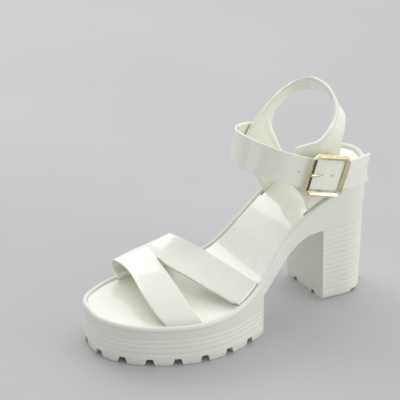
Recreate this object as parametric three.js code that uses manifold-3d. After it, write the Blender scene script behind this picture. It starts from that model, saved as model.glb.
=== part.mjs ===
// A left platform sandal with a block heel, an open slingback quarter and a buckled ankle strap.
// Millimetres, +Z up, toe towards -Y, outer side of the foot towards +X, standing on z = 0.
import * as THREE from "three";
import { mergeVertices } from "three/addons/utils/BufferGeometryUtils.js";
import Module from "manifold-3d";

const wasm = await Module();
wasm.setup();

// Driving dimensions of the sole unit
const rimLength = 230;
const ballWidth = 94;
const platformHeight = 32;
const heelRise = 76;
const platformRear = 118.4;
const breastFoot = 183.8;
const breastHead = 179;
const breastHeight = 64;
const archFoot = 33;
const seatBandDrop = 24;
const lipWidth = 3.6;
const lipHeight = 4.2;
const lipProud = 0.7;
const lipAboveInsole = 1.5;
const toeWallInset = 1.0;
const heelTaper = 0.22;

// Ribs and lugs of the sole unit
const ribDepth = 0.5;
const ribHalfWidth = 0.6;
const platformRibs = [9.8, 14, 18, 21.6];
const footEdge = 0.8;
const heelRibPitch = 4.4;
const heelRibFoot = 8;
const heelSetBack = 0.9;
const heelJoint = 4;
const bandOverrun = 5;
const lugPitch = 20.6;
const firstLug = 5.3;
const lastLug = 130;
const lugNotch = { foot: 8.6, head: 4.6, height: 5.6, depth: 12, outside: 4 };
const heelGroove = { width: 4, depth: 3, across: 11.5, along: 210.7 };

// Driving dimensions of the insole and the upper
const insoleThickness = 3;
const clearance = 0.3;
const upperWall = 2;
const vampRise = 25;
const ankleHalfWidth = 33;
const slingRise = 72;
const quarterUpright = 0.14;
const slotLead = 3.6;
const strapWidth = 23.2;
const strapWall = 1.8;
const strapEndHollow = 2.5;
const strapTilt = 0.38;
const strapFrontHeight = 131.4;
const strapFrontAlong = 127.6;

// Driving dimensions of the buckle
const buckleLength = 35;
const buckleBar = 3.4;
const railGap = 1;
const buckleThickness = 2.4;
const buckleChamfer = 4;
const openingChamfer = 1.2;
const buckleBevel = 0.7;
const earLength = 3;
const earMargin = 1;
const pivotRadius = 0.9;
const prongRadius = 0.8;
const tabWall = 1;
const tabWidth = 15;
const tabLength = 22;
const prongSlot = 2.4;
const prongHoleAt = -4.6;
const prongRise = 4.6;
const prongBend = 0.6;
const prongTipInset = 0.4;
const buckleStep = 0.77;

const outlineSteps = 44;

// Outline of the rim: along is a share of rimLength from the toe, the widths are shares of ballWidth.
const rimOutline = [
  { along: 0, medial: 0.043, lateral: -0.043 },
  { along: 0.01, medial: 0.228, lateral: 0.074 },
  { along: 0.035, medial: 0.334, lateral: 0.186 },
  { along: 0.08, medial: 0.402, lateral: 0.309 },
  { along: 0.15, medial: 0.464, lateral: 0.427 },
  { along: 0.24, medial: 0.48, lateral: 0.522 },
  { along: 0.33, medial: 0.451, lateral: 0.55 },
  { along: 0.43, medial: 0.374, lateral: 0.517 },
  { along: 0.54, medial: 0.3, lateral: 0.419 },
  { along: 0.65, medial: 0.283, lateral: 0.336 },
  { along: 0.76, medial: 0.299, lateral: 0.339 },
  { along: 0.87, medial: 0.312, lateral: 0.352 },
  { along: 0.94, medial: 0.28, lateral: 0.3 },
  { along: 0.98, medial: 0.182, lateral: 0.17 },
  { along: 1, medial: 0, lateral: 0 },
];

// Section of the bead lip: drop below the rim's height and inset from the rim's outline.
const lipProfile = [
  { drop: lipHeight + 0.4, inset: lipProud },
  { drop: lipHeight - 0.8, inset: 0.1 },
  { drop: lipHeight / 2, inset: -0.1 },
  { drop: 0.9, inset: 0.25 },
  { drop: 0.1, inset: 1.1 },
  { drop: 0, inset: lipWidth / 2 },
  { drop: 0.25, inset: lipWidth - 0.7 },
  { drop: 1, inset: lipWidth },
  { drop: lipAboveInsole + insoleThickness + clearance, inset: lipWidth },
];

// Height of the rim above the forefoot, as a share of heelRise.
const rimProfile = [
  { along: 0, rise: 0.018 },
  { along: 0.15, rise: 0.007 },
  { along: 0.3, rise: 0.014 },
  { along: 0.4, rise: 0.056 },
  { along: 0.5, rise: 0.175 },
  { along: 0.6, rise: 0.42 },
  { along: 0.7, rise: 0.65 },
  { along: 0.8, rise: 0.79 },
  { along: 0.88, rise: 0.853 },
  { along: 0.95, rise: 0.92 },
  { along: 1, rise: 1 },
];

// Underside of the waist: along from the platform to the breast, rise from archFoot to breastHeight.
const archProfile = [
  { along: 0, rise: 0 },
  { along: 0.22, rise: 0.29 },
  { along: 0.36, rise: 0.47 },
  { along: 0.5, rise: 0.69 },
  { along: 0.62, rise: 0.86 },
  { along: 0.74, rise: 0.97 },
  { along: 0.86, rise: 1 },
  { along: 1, rise: 1 },
];

// The vamp from its medial to its lateral seat: across is a share of the half width between the
// seats, front to back are the edges of the two straps along the rim, and the rises above the insole
// on those four edges are shares of vampRise.
const vampRows = [
  { across: -1, front: 0.185, split: 0.296, parted: 0.298, back: 0.372,
    frontRise: 0.12, splitRise: 0.12, partedRise: 0.12, backRise: 0.13 },
  { across: -1.085, front: 0.176, split: 0.295, parted: 0.297, back: 0.375,
    frontRise: 0.29, splitRise: 0.36, partedRise: 0.36, backRise: 0.44 },
  { across: -1.14, front: 0.173, split: 0.293, parted: 0.295, back: 0.376,
    frontRise: 0.5, splitRise: 0.64, partedRise: 0.64, backRise: 0.76 },
  { across: -1.05, front: 0.18, split: 0.29, parted: 0.292, back: 0.377,
    frontRise: 0.6, splitRise: 0.79, partedRise: 0.79, backRise: 0.98 },
  { across: -0.8, front: 0.187, split: 0.285, parted: 0.287, back: 0.393,
    frontRise: 0.59, splitRise: 0.82, partedRise: 0.82, backRise: 0.94 },
  { across: -0.4, front: 0.178, split: 0.278, parted: 0.293, back: 0.428,
    frontRise: 0.57, splitRise: 0.74, partedRise: 0.7, backRise: 0.68 },
  { across: 0.05, front: 0.161, split: 0.269, parted: 0.328, back: 0.449,
    frontRise: 0.52, splitRise: 0.61, partedRise: 0.5, backRise: 0.5 },
  { across: 0.45, front: 0.152, split: 0.261, parted: 0.355, back: 0.465,
    frontRise: 0.4, splitRise: 0.45, partedRise: 0.34, backRise: 0.36 },
  { across: 0.75, front: 0.15, split: 0.259, parted: 0.374, back: 0.474,
    frontRise: 0.26, splitRise: 0.27, partedRise: 0.23, backRise: 0.27 },
  { across: 0.93, front: 0.154, split: 0.261, parted: 0.387, back: 0.485,
    frontRise: 0.17, splitRise: 0.17, partedRise: 0.165, backRise: 0.185 },
  { across: 1, front: 0.16, split: 0.267, parted: 0.404, back: 0.498,
    frontRise: 0.13, splitRise: 0.13, partedRise: 0.135, backRise: 0.14 },
];

// Edges of the quarter and its sling, from the medial front round the back to the lateral front.
// x is a share of ankleHalfWidth, y of rimLength, z of slingRise above the seat. Seated rows start
// in the slot beside the insole, at a share above its floor; bow moves the middle of a row along
// the rim and tuck moves it inwards.
const quarterRows = [
  { low: { y: 0.7, above: 0 }, high: { x: -0.98, y: 0.635, z: 0.22 }, bow: 0, tuck: 0 },
  { low: { y: 0.73, above: 0 }, high: { x: -0.99, y: 0.646, z: 0.35 }, bow: 0, tuck: 0 },
  { low: { y: 0.761, above: 0 }, high: { x: -0.99, y: 0.674, z: 0.48 }, bow: 0, tuck: 0 },
  { low: { y: 0.787, above: 0 }, high: { x: -0.99, y: 0.7, z: 0.57 }, bow: 0, tuck: 0 },
  { low: { y: 0.788, above: 0.09 }, high: { x: -0.99, y: 0.715, z: 0.62 }, bow: 0, tuck: 0 },
  { low: { x: -0.95, y: 0.757, z: 0.17 }, high: { x: -0.98, y: 0.735, z: 0.675 }, bow: 0, tuck: 0 },
  { low: { x: -0.98, y: 0.744, z: 0.34 }, high: { x: -0.95, y: 0.76, z: 0.755 }, bow: 0, tuck: 0 },
  { low: { x: -0.97, y: 0.754, z: 0.55 }, high: { x: -0.89, y: 0.792, z: 0.84 }, bow: 0, tuck: 0 },
  { low: { x: -0.88, y: 0.796, z: 0.71 }, high: { x: -0.71, y: 0.832, z: 0.935 }, bow: 0, tuck: 0 },
  { low: { x: -0.58, y: 0.838, z: 0.83 }, high: { x: -0.39, y: 0.857, z: 0.99 }, bow: 0, tuck: 0 },
  { low: { x: -0.09, y: 0.857, z: 0.895 }, high: { x: 0, y: 0.863, z: 0.98 }, bow: 0, tuck: 0 },
  { low: { x: 0.33, y: 0.866, z: 0.845 }, high: { x: 0.3, y: 0.857, z: 0.94 }, bow: 0, tuck: 0 },
  { low: { x: 0.62, y: 0.868, z: 0.77 }, high: { x: 0.6, y: 0.839, z: 0.875 }, bow: 0, tuck: 0 },
  { low: { x: 0.8, y: 0.856, z: 0.67 }, high: { x: 0.8, y: 0.81, z: 0.765 }, bow: 0, tuck: 0 },
  { low: { x: 0.89, y: 0.835, z: 0.5 }, high: { x: 0.88, y: 0.782, z: 0.685 }, bow: 0, tuck: 0 },
  { low: { x: 0.9, y: 0.828, z: 0.2 }, high: { x: 0.9, y: 0.762, z: 0.635 }, bow: 0, tuck: 0 },
  { low: { y: 0.841, above: 0.11 }, high: { x: 0.9, y: 0.75, z: 0.615 }, bow: 0, tuck: 0 },
  { low: { y: 0.838, above: 0 }, high: { x: 0.89, y: 0.739, z: 0.602 }, bow: 0, tuck: 0 },
  { low: { y: 0.8, above: 0 }, high: { x: 0.86, y: 0.716, z: 0.592 }, bow: -0.01, tuck: -0.02 },
  { low: { y: 0.755, above: 0 }, high: { x: 0.8, y: 0.692, z: 0.577 }, bow: -0.028, tuck: -0.06 },
  { low: { y: 0.722, above: 0 }, high: { x: 0.75, y: 0.675, z: 0.56 }, bow: -0.046, tuck: -0.11 },
];

// Middle line of the ankle strap, from the medial seam to the free end: x is a share of
// ankleHalfWidth, y of rimLength, lift is above the tilted plane in shares of strapWidth.
const strapRows = [
  { x: -1.105, y: 0.75, lift: 0, lean: 1 },
  { x: -1.11, y: 0.7, lift: 0, lean: 1 },
  { x: -1.06, y: 0.647, lift: -0.03, lean: 1 },
  { x: -0.84, y: 0.594, lift: -0.06, lean: 0.7 },
  { x: -0.45, y: 0.556, lift: -0.04, lean: 0.55 },
  { x: -0.02, y: 0.545, lift: 0, lean: 0.8 },
  { x: 0.42, y: 0.568, lift: 0, lean: 1 },
  { x: 0.82, y: 0.62, lift: 0, lean: 1 },
  { x: 1.05, y: 0.69, lift: 0.02, lean: 1 },
  { x: 1.11, y: 0.745, lift: 0.05, lean: 1 },
  { x: 1.11, y: 0.8, lift: 0.08, lean: 0.8 },
  { x: 1.06, y: 0.87, lift: 0.2, lean: 0.4 },
  { x: 0.97, y: 0.941, lift: 0.43, lean: 0.1 },
];

// Value of a table's column at a place, along a smooth curve that never passes its rows.
function lookUp(table, key, column, at) {
  let i = 0;
  while (i < table.length - 2 && at > table[i + 1][key]) i += 1;
  const rate = (k) => {
    const [a, b] = [table[k], table[k + 1]];
    return (b[column] - a[column]) / (b[key] - a[key]);
  };
  const slope = (k) => {
    const before = rate(Math.max(k - 1, 0));
    const after = rate(Math.min(k, table.length - 2));
    if (before * after <= 0) return 0;
    const least = 3 * Math.min(Math.abs(before), Math.abs(after));
    return THREE.MathUtils.clamp((before + after) / 2, -least, least);
  };
  const span = table[i + 1][key] - table[i][key];
  const t = THREE.MathUtils.clamp((at - table[i][key]) / span, 0, 1);
  const [t2, t3] = [t * t, t * t * t];
  const [p, q] = [table[i][column], table[i + 1][column]];
  const [m, n] = [slope(i) * span, slope(i + 1) * span];
  return p * (2 * t3 - 3 * t2 + 1) + m * (t3 - 2 * t2 + t) + q * (3 * t2 - 2 * t3) + n * (t3 - t2);
}

// The outline's rows are read by the angle of a half turn, which keeps toe and heel round.
const turnOf = (share) => Math.acos(THREE.MathUtils.clamp(1 - 2 * share, -1, 1)) / Math.PI;
const roundedOutline = rimOutline.map((row) => ({ ...row, turn: turnOf(row.along) }));

const yOf = (share) => (share - 0.5) * rimLength;
const shareOf = (y) => y / rimLength + 0.5;
const rimHeight = (y) => platformHeight + heelRise * lookUp(rimProfile, "along", "rise", shareOf(y));

// Place of the rim at a turn from toe (0) to heel (1) on one side, -1 medial and 1 lateral.
function rimPoint(turn, side) {
  const width = lookUp(roundedOutline, "turn", side < 0 ? "medial" : "lateral", turn);
  return new THREE.Vector2(side * width * ballWidth, yOf((1 - Math.cos(Math.PI * turn)) / 2));
}

// The rim moved inwards by a distance, square to the outline.
function insetPoint(turn, side, inset) {
  const step = 0.002;
  const here = rimPoint(turn, side);
  if (turn < step || turn > 1 - step) {
    return new THREE.Vector2(here.x, here.y + (turn < step ? inset : -inset));
  }
  const way = rimPoint(turn + step, side).sub(rimPoint(turn - step, side)).normalize();
  return here.add(new THREE.Vector2(-side * way.y, side * way.x).multiplyScalar(inset));
}

// Distance from the middle line to the outline at y, moved in by an inset.
function sideAt(y, side, inset) {
  let [low, high] = [0, 1];
  for (let k = 0; k < 24; k += 1) {
    const middle = (low + high) / 2;
    if (insetPoint(middle, side, inset).y < y) low = middle;
    else high = middle;
  }
  return insetPoint((low + high) / 2, side, inset).x;
}

// A closed mesh from triangles of points: shared corners are merged and flat triangles dropped.
function geometryFrom(triangles) {
  const soup = new THREE.BufferGeometry().setFromPoints(triangles.flat());
  const merged = mergeVertices(soup, 1e-4);
  const old = merged.index.array;
  const kept = [];
  for (let i = 0; i < old.length; i += 3) {
    const [a, b, c] = [old[i], old[i + 1], old[i + 2]];
    if (a !== b && b !== c && a !== c) kept.push(a, b, c);
  }
  merged.setIndex(kept);
  return merged;
}

const quad = (a, b, c, d) => [[a, b, c], [a, c, d]];

// Solid of a geometry, for joining and cutting.
function solidOf(geometry) {
  const plain = geometry.clone();
  plain.deleteAttribute("normal");
  plain.deleteAttribute("uv");
  const merged = mergeVertices(plain, 1e-4);
  const mesh = new wasm.Mesh({
    numProp: 3,
    vertProperties: new Float32Array(merged.attributes.position.array),
    triVerts: new Uint32Array(merged.index.array),
  });
  return new wasm.Manifold(mesh);
}

// Geometry of a solid, after joining and cutting.
function geometryOf(solid) {
  const mesh = solid.getMesh();
  const geometry = new THREE.BufferGeometry();
  geometry.setAttribute("position", new THREE.BufferAttribute(mesh.vertProperties, 3));
  geometry.setIndex(new THREE.BufferAttribute(mesh.triVerts, 1));
  geometry.computeVertexNormals();
  return geometry;
}

// A closed stack of rings from the lowest to the highest. Each ring holds two sides of equal length,
// which meet at the back and, where joined, at the front; strips between the sides close both ends.
function stackOfRings(rings) {
  const triangles = [];
  const count = rings[0].medial.length;
  const loops = rings.map((ring) => [...ring.medial, ...[...ring.lateral].reverse()]);
  for (let k = 0; k < loops.length - 1; k += 1) {
    for (let i = 0; i < loops[k].length; i += 1) {
      const j = (i + 1) % loops[k].length;
      triangles.push(...quad(loops[k][i], loops[k + 1][i], loops[k + 1][j], loops[k][j]));
    }
  }
  const [low, high] = [rings[0], rings[rings.length - 1]];
  for (let i = 0; i < count - 1; i += 1) {
    triangles.push(...quad(low.medial[i], low.medial[i + 1], low.lateral[i + 1], low.lateral[i]));
    triangles.push(...quad(high.medial[i], high.lateral[i], high.lateral[i + 1], high.medial[i + 1]));
  }
  return geometryFrom(triangles);
}

// A ring of the sole outline: inset moves it in, and heightAt gives each point's height.
function outlineRing(inset, heightAt, squeeze = () => 1) {
  const sides = { medial: [], lateral: [] };
  for (let i = 0; i <= outlineSteps; i += 1) {
    for (const [name, side] of [["medial", -1], ["lateral", 1]]) {
      const place = insetPoint(i / outlineSteps, side, inset);
      const z = heightAt(place.y);
      sides[name].push(new THREE.Vector3(place.x * squeeze(place.y, z), place.y, z));
    }
  }
  return sides;
}

// Share of its width that the side wall keeps at a height: the heel narrows towards its foot, most
// at the breast and not at its back.
function wallWidth(y, z) {
  const { smoothstep } = THREE.MathUtils;
  const heelShare = smoothstep(y, yOf(0.5), yOf(0.8)) * (1 - 0.45 * smoothstep(y, yOf(0.8), yOf(0.96)));
  return 1 - heelTaper * heelShare * (1 - z / rimHeight(y));
}

// Wall, lip and hollow for the insole, over the whole length and down to the floor.
function upperBody() {
  const flat = toeWallInset * 0.8;
  const levels = [{ z: 0, inset: toeWallInset + footEdge }, { z: footEdge, inset: toeWallInset }];
  for (const z of platformRibs) {
    levels.push({ z: z - ribHalfWidth, inset: flat }, { z, inset: flat + ribDepth });
    levels.push({ z: z + ribHalfWidth, inset: flat });
  }
  const rings = levels.map((level) => outlineRing(level.inset, () => level.z, wallWidth));
  for (const { drop, inset } of lipProfile) {
    rings.push(outlineRing(inset, (y) => rimHeight(y) - drop));
  }
  return solidOf(stackOfRings(rings));
}

// An outline in the side view, reaching right across the sole.
function acrossPrism(points) {
  const reach = 2 * ballWidth;
  const shape = new THREE.Shape(points.map(([y, z]) => new THREE.Vector2(y, z)));
  const geometry = new THREE.ExtrudeGeometry(shape, { depth: reach, bevelEnabled: false });
  const axes = new THREE.Matrix4().makeBasis(
    new THREE.Vector3(0, 1, 0),
    new THREE.Vector3(0, 0, 1),
    new THREE.Vector3(1, 0, 0),
  );
  geometry.applyMatrix4(axes);
  geometry.translate(-reach / 2, 0, 0);
  return solidOf(geometry);
}

// Underside of the seat band, rising from the breast to behind the heel.
const breast = breastHead - rimLength / 2;
const behind = yOf(1) + bandOverrun;
const bandFoot = (y) => {
  return THREE.MathUtils.mapLinear(y, breast, behind, breastHeight, rimHeight(yOf(1)) - seatBandDrop);
};

// What is cut away under the waist and around the heel block.
function underWaist() {
  const rear = platformRear - rimLength / 2;
  const points = [[rear, -1]];
  const steps = 14;
  for (let k = 0; k <= steps; k += 1) {
    const rise = lookUp(archProfile, "along", "rise", k / steps);
    points.push([rear + ((breast - rear) * k) / steps, archFoot + (breastHeight - archFoot) * rise]);
  }
  points.push([behind, bandFoot(behind)], [behind, -1]);
  return acrossPrism(points);
}

// The heel block under the seat, ribbed on its sides, with a flat breast, let into the seat band.
function heelBlock() {
  const steps = 13;
  const ringAt = (level, inset, heightAt = () => level) => {
    const front = THREE.MathUtils.lerp(breastFoot, breastHead, level / breastHeight) - rimLength / 2;
    const back = yOf(1) - inset;
    const sides = { medial: [], lateral: [] };
    for (let i = 0; i <= steps; i += 1) {
      const y = THREE.MathUtils.lerp(front, back, Math.sin((i / steps) * (Math.PI / 2)));
      const rimY = THREE.MathUtils.lerp(front, yOf(1), (y - front) / (back - front));
      const z = heightAt(y);
      for (const [name, side] of [["medial", -1], ["lateral", 1]]) {
        const width = i === steps ? 0 : sideAt(rimY, side, 0) * wallWidth(rimY, z) - side * inset;
        sides[name].push(new THREE.Vector3(width, y, z));
      }
    }
    return sides;
  };
  const rings = [ringAt(0, heelSetBack + 2 * footEdge), ringAt(footEdge, heelSetBack + footEdge)];
  rings.push(ringAt(3 * footEdge, heelSetBack));
  for (let z = heelRibFoot; z < breastHeight; z += heelRibPitch) {
    rings.push(ringAt(z, heelSetBack), ringAt(z + ribHalfWidth, heelSetBack + ribDepth));
    rings.push(ringAt(z + 2 * ribHalfWidth, heelSetBack));
  }
  rings.push(ringAt(breastHeight, heelSetBack, (y) => bandFoot(y) + heelJoint));
  return solidOf(stackOfRings(rings));
}

// A notch between two lugs: wider at the floor, cut inwards from the wall.
function lugCut(place, inwards) {
  const { foot, head, height, depth, outside } = lugNotch;
  const shape = new THREE.Shape();
  shape.moveTo(-foot / 2, -1);
  shape.lineTo(foot / 2, -1);
  shape.lineTo(head / 2, height);
  shape.lineTo(-head / 2, height);
  shape.closePath();
  const geometry = new THREE.ExtrudeGeometry(shape, { depth: depth + outside, bevelEnabled: false });
  const z = new THREE.Vector3(inwards.x, inwards.y, 0).normalize();
  const y = new THREE.Vector3(0, 0, 1);
  const x = new THREE.Vector3().crossVectors(y, z);
  geometry.applyMatrix4(new THREE.Matrix4().makeBasis(x, y, z));
  geometry.translate(place.x - z.x * outside, place.y - z.y * outside, 0);
  return solidOf(geometry);
}

// The notches stand at equal steps of length along the outline, counted from the toe.
function lugCuts() {
  const cuts = [];
  for (const side of [-1, 1]) {
    let travelled = 0;
    let next = side < 0 ? lugPitch - firstLug : firstLug;
    let last = rimPoint(0, side);
    const fine = 900;
    for (let i = 1; i <= fine && next <= lastLug; i += 1) {
      const here = rimPoint(i / fine, side);
      travelled += here.distanceTo(last);
      if (travelled >= next) {
        const way = here.clone().sub(last).normalize();
        cuts.push(lugCut(here, new THREE.Vector2(-side * way.y, side * way.x)));
        next += lugPitch;
      }
      last = here;
    }
  }
  return cuts;
}

// Grooves in the heel's tread: two along it and one across.
function heelGrooves() {
  const { width, depth, across, along } = heelGroove;
  const groove = (length) => new THREE.BoxGeometry(width, length, 2 * depth);
  const cuts = [-across, across].map((x) => groove(2 * ballWidth).translate(x, yOf(1), 0));
  cuts.push(groove(2 * ballWidth).rotateZ(Math.PI / 2).translate(0, along - rimLength / 2, 0));
  return cuts.map((geometry) => solidOf(geometry));
}

function soleUnit() {
  const body = upperBody().subtract(underWaist()).add(heelBlock());
  return geometryOf([...lugCuts(), ...heelGrooves()].reduce((solid, cut) => solid.subtract(cut), body));
}

// A closed wall around a grid of middle points; cells that isOpen names are left out.
function wallSolid(grid, wall, isOpen = () => false) {
  const [rows, columns] = [grid.length, grid[0].length];
  const skins = [[], []];
  for (let i = 0; i < rows; i += 1) {
    skins[0].push([]);
    skins[1].push([]);
    for (let j = 0; j < columns; j += 1) {
      const along = grid[Math.min(i + 1, rows - 1)][j].clone().sub(grid[Math.max(i - 1, 0)][j]);
      const across = grid[i][Math.min(j + 1, columns - 1)].clone().sub(grid[i][Math.max(j - 1, 0)]);
      const normal = along.cross(across).normalize().multiplyScalar(wall / 2);
      skins[0][i].push(grid[i][j].clone().add(normal));
      skins[1][i].push(grid[i][j].clone().sub(normal));
    }
  }
  const [outer, inner] = skins;
  const filled = (i, j) => i >= 0 && j >= 0 && i < rows - 1 && j < columns - 1 && !isOpen(i, j);
  const triangles = [];
  const side = ([i, j], [k, l]) => {
    triangles.push(...quad(inner[i][j], inner[k][l], outer[k][l], outer[i][j]));
  };
  for (let i = 0; i < rows - 1; i += 1) {
    for (let j = 0; j < columns - 1; j += 1) {
      if (!filled(i, j)) continue;
      triangles.push(...quad(outer[i][j], outer[i + 1][j], outer[i + 1][j + 1], outer[i][j + 1]));
      triangles.push(...quad(inner[i][j], inner[i][j + 1], inner[i + 1][j + 1], inner[i + 1][j]));
      if (!filled(i - 1, j)) side([i, j + 1], [i, j]);
      if (!filled(i + 1, j)) side([i + 1, j], [i + 1, j + 1]);
      if (!filled(i, j - 1)) side([i, j], [i + 1, j]);
      if (!filled(i, j + 1)) side([i + 1, j + 1], [i, j + 1]);
    }
  }
  return solidOf(geometryFrom(triangles));
}

// Middle of a strap's wall where it stands in the slot between insole and lip.
const slotInset = lipWidth + clearance + upperWall / 2;
const slotX = (y, side) => sideAt(y, side, slotInset);
const slotFloor = (y) => rimHeight(y) - lipAboveInsole - insoleThickness + clearance;

// A slot in the insole's edge for a strap that stands between two places along the rim.
function edgeSlot(side, from, to) {
  const steps = 8;
  const grid = [];
  for (let i = 0; i <= steps; i += 1) {
    const y = THREE.MathUtils.lerp(from - clearance, to + clearance, i / steps);
    const x = slotX(y, side);
    grid.push([-1, 1].map((end) => new THREE.Vector3(x, y, rimHeight(y) + end * 9 * side)));
  }
  return wallSolid(grid, upperWall + 2 * clearance);
}

function insole() {
  const floor = lipAboveInsole + insoleThickness;
  const inset = lipWidth + clearance;
  const rings = [
    outlineRing(inset, (y) => rimHeight(y) - floor),
    outlineRing(inset, (y) => rimHeight(y) - lipAboveInsole - 0.7),
    outlineRing(inset + 0.8, (y) => rimHeight(y) - lipAboveInsole),
  ];
  const first = vampRows[0];
  const last = vampRows[vampRows.length - 1];
  const seated = quarterRows.filter((row) => row.low.x === undefined);
  const medial = seated.filter((row) => row.high.x < 0).map((row) => row.low.y);
  const lateral = seated.filter((row) => row.high.x > 0).map((row) => row.low.y);
  const slots = [
    edgeSlot(-1, yOf(first.front), yOf(first.back)),
    edgeSlot(1, yOf(last.front), yOf(last.split)),
    edgeSlot(1, yOf(last.parted), yOf(last.back)),
    edgeSlot(-1, yOf(Math.min(...medial)) - slotLead, yOf(Math.max(...medial))),
    edgeSlot(1, yOf(Math.min(...lateral)) - slotLead, yOf(Math.max(...lateral))),
  ];
  const solid = slots.reduce((rest, slot) => rest.subtract(slot), solidOf(stackOfRings(rings)));
  return geometryOf(solid);
}

// A table whose rows are numbered evenly from 0 to 1 by their step.
const numbered = (rows) => rows.map((row, i) => ({ ...row, step: i / (rows.length - 1) }));

// The vamp: one wide piece on the medial side that parts into two straps.
function vamp() {
  const steps = 30;
  const columns = 5;
  const lastWhole = 13;
  const table = numbered(vampRows);
  const pointAt = (step, share, rise) => {
    const y = yOf(share);
    const [medial, lateral] = [slotX(y, -1), slotX(y, 1)];
    const x = (medial + lateral) / 2 + (lookUp(table, "step", "across", step) * (lateral - medial)) / 2;
    return new THREE.Vector3(x, y, rimHeight(y) - lipAboveInsole + vampRise * rise);
  };
  const grid = [];
  for (let i = -1; i <= steps + 1; i += 1) {
    const step = THREE.MathUtils.clamp(i / steps, 0, 1);
    const value = (column) => lookUp(table, "step", column, step);
    const line = [];
    for (const [from, to] of [["front", "split"], ["parted", "back"]]) {
      for (let j = 0; j <= columns; j += 1) {
        const share = THREE.MathUtils.lerp(value(from), value(to), j / columns);
        const rise = THREE.MathUtils.lerp(value(from + "Rise"), value(to + "Rise"), j / columns);
        line.push(pointAt(step, share, rise));
      }
    }
    if (i < 0 || i > steps) line.forEach((point) => point.setZ(slotFloor(point.y)));
    grid.push(line);
  }
  return geometryOf(wallSolid(grid, upperWall, (i, j) => j === columns && i > lastWhole));
}

// The quarter and its sling, one band from the medial front to the lateral front.
const seatHeight = rimHeight(yOf(0.88));
function quarter() {
  const { lerp, smoothstep } = THREE.MathUtils;
  const rows = quarterRows.map(({ low, high, bow, tuck }) => {
    const seated = low.x === undefined;
    return {
      seated: seated ? 1 : 0,
      above: seated ? low.above * slingRise : 0,
      lowX: seated ? slotX(yOf(low.y), Math.sign(high.x)) : low.x * ankleHalfWidth,
      lowY: yOf(low.y),
      lowZ: seated ? slotFloor(yOf(low.y)) + low.above * slingRise : seatHeight + low.z * slingRise,
      highX: high.x * ankleHalfWidth,
      highY: yOf(high.y),
      highZ: seatHeight + high.z * slingRise,
      bow: bow * rimLength,
      tuck: tuck * ankleHalfWidth,
    };
  });
  const table = numbered(rows);
  const along = (quarterRows.length - 1) * 2;
  const rise = 7;
  const grid = [];
  for (let i = 0; i <= along; i += 1) {
    const value = (column) => lookUp(table, "step", column, i / along);
    const seated = value("seated");
    const lowY = value("lowY");
    const inSlot = seated > 0.999;
    const lowX = inSlot ? slotX(lowY, Math.sign(value("highX"))) : value("lowX");
    const lowZ = inSlot ? slotFloor(lowY) + value("above") : value("lowZ");
    const line = [];
    for (let j = 0; j <= rise; j += 1) {
      const t = j / rise;
      const swell = Math.sin(Math.PI * t ** 1.5) ** 2;
      const ease = lerp(t, smoothstep(t, quarterUpright, 1), seated);
      const x = lerp(lowX, value("highX"), ease) + value("tuck") * swell;
      const y = lerp(lowY, value("highY"), t) + value("bow") * swell;
      line.push(new THREE.Vector3(x, y, lerp(lowZ, value("highZ"), t)));
    }
    grid.push(line.reverse());
  }
  return geometryOf(wallSolid(grid, upperWall));
}

// Middle line of the ankle strap at a step from the seam (0) to the free end (1), with the
// directions along it, across it and outwards.
const strapTable = numbered(strapRows);
function strapMiddle(step) {
  const value = (column) => lookUp(strapTable, "step", column, step);
  const y = yOf(value("y"));
  const drop = strapTilt * (y + rimLength / 2 - strapFrontAlong);
  const z = strapFrontHeight - drop + value("lift") * strapWidth;
  return new THREE.Vector3(value("x") * ankleHalfWidth, y, z);
}
function strapFrame(step) {
  const reach = 0.01;
  const along = strapMiddle(Math.min(step + reach, 1)).sub(strapMiddle(Math.max(step - reach, 0)));
  along.normalize();
  const tilt = Math.atan(strapTilt) * lookUp(strapTable, "step", "lean", step);
  const width = new THREE.Vector3(0, Math.sin(tilt), Math.cos(tilt));
  const out = new THREE.Vector3().crossVectors(along, width).normalize();
  return { middle: strapMiddle(step), along, width, out };
}

// Frame of the buckle: x along the strap to its end, y up across it, z outwards from the strap.
function buckleMatrix() {
  const { middle, along, out } = strapFrame(buckleStep);
  const up = new THREE.Vector3().crossVectors(out, along);
  const origin = middle.addScaledVector(out, strapWall / 2 + clearance);
  return new THREE.Matrix4().makeBasis(along, up, out).setPosition(origin);
}

// Places in the buckle's own frame, whose z starts at the underside of the bars
const strapUnderside = -clearance - strapWall;
const pivotZ = strapUnderside - clearance - tabWall - clearance - pivotRadius;
const bearing = pivotRadius + clearance;

// A bar of round section along a list of points [x, z] in the buckle's middle plane.
function roundBar(points, radius) {
  const path = new THREE.CatmullRomCurve3(points.map(([x, z]) => new THREE.Vector3(x, 0, z)));
  const section = new THREE.Shape();
  section.absarc(0, 0, radius, 0, 2 * Math.PI);
  const options = { steps: 14, curveSegments: 4, bevelEnabled: false, extrudePath: path };
  return solidOf(new THREE.ExtrudeGeometry(section, options));
}

// The prong leaves the pivot, comes up through the strap and rests on the front bar.
function prongShank(radius, beyond = 0) {
  const rest = buckleThickness - prongRadius / 2 + clearance;
  const tip = -buckleLength / 2 + prongTipInset - beyond;
  return roundBar([
    [-bearing, pivotZ + prongBend],
    [prongHoleAt, strapUnderside + strapWall / 2],
    [prongHoleAt - prongRise, rest - prongBend],
    [tip + beyond + buckleBar, rest],
    [tip, rest],
  ], radius);
}

function ring(outer, inner, width) {
  const shape = new THREE.Shape();
  shape.absarc(0, 0, outer, 0, 2 * Math.PI);
  const hole = new THREE.Path();
  hole.absarc(0, 0, inner, 0, 2 * Math.PI, true);
  shape.holes.push(hole);
  const geometry = new THREE.ExtrudeGeometry(shape, { depth: width, curveSegments: 8, bevelEnabled: false });
  geometry.translate(0, 0, -width / 2);
  geometry.rotateX(Math.PI / 2);
  return geometry;
}

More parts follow.
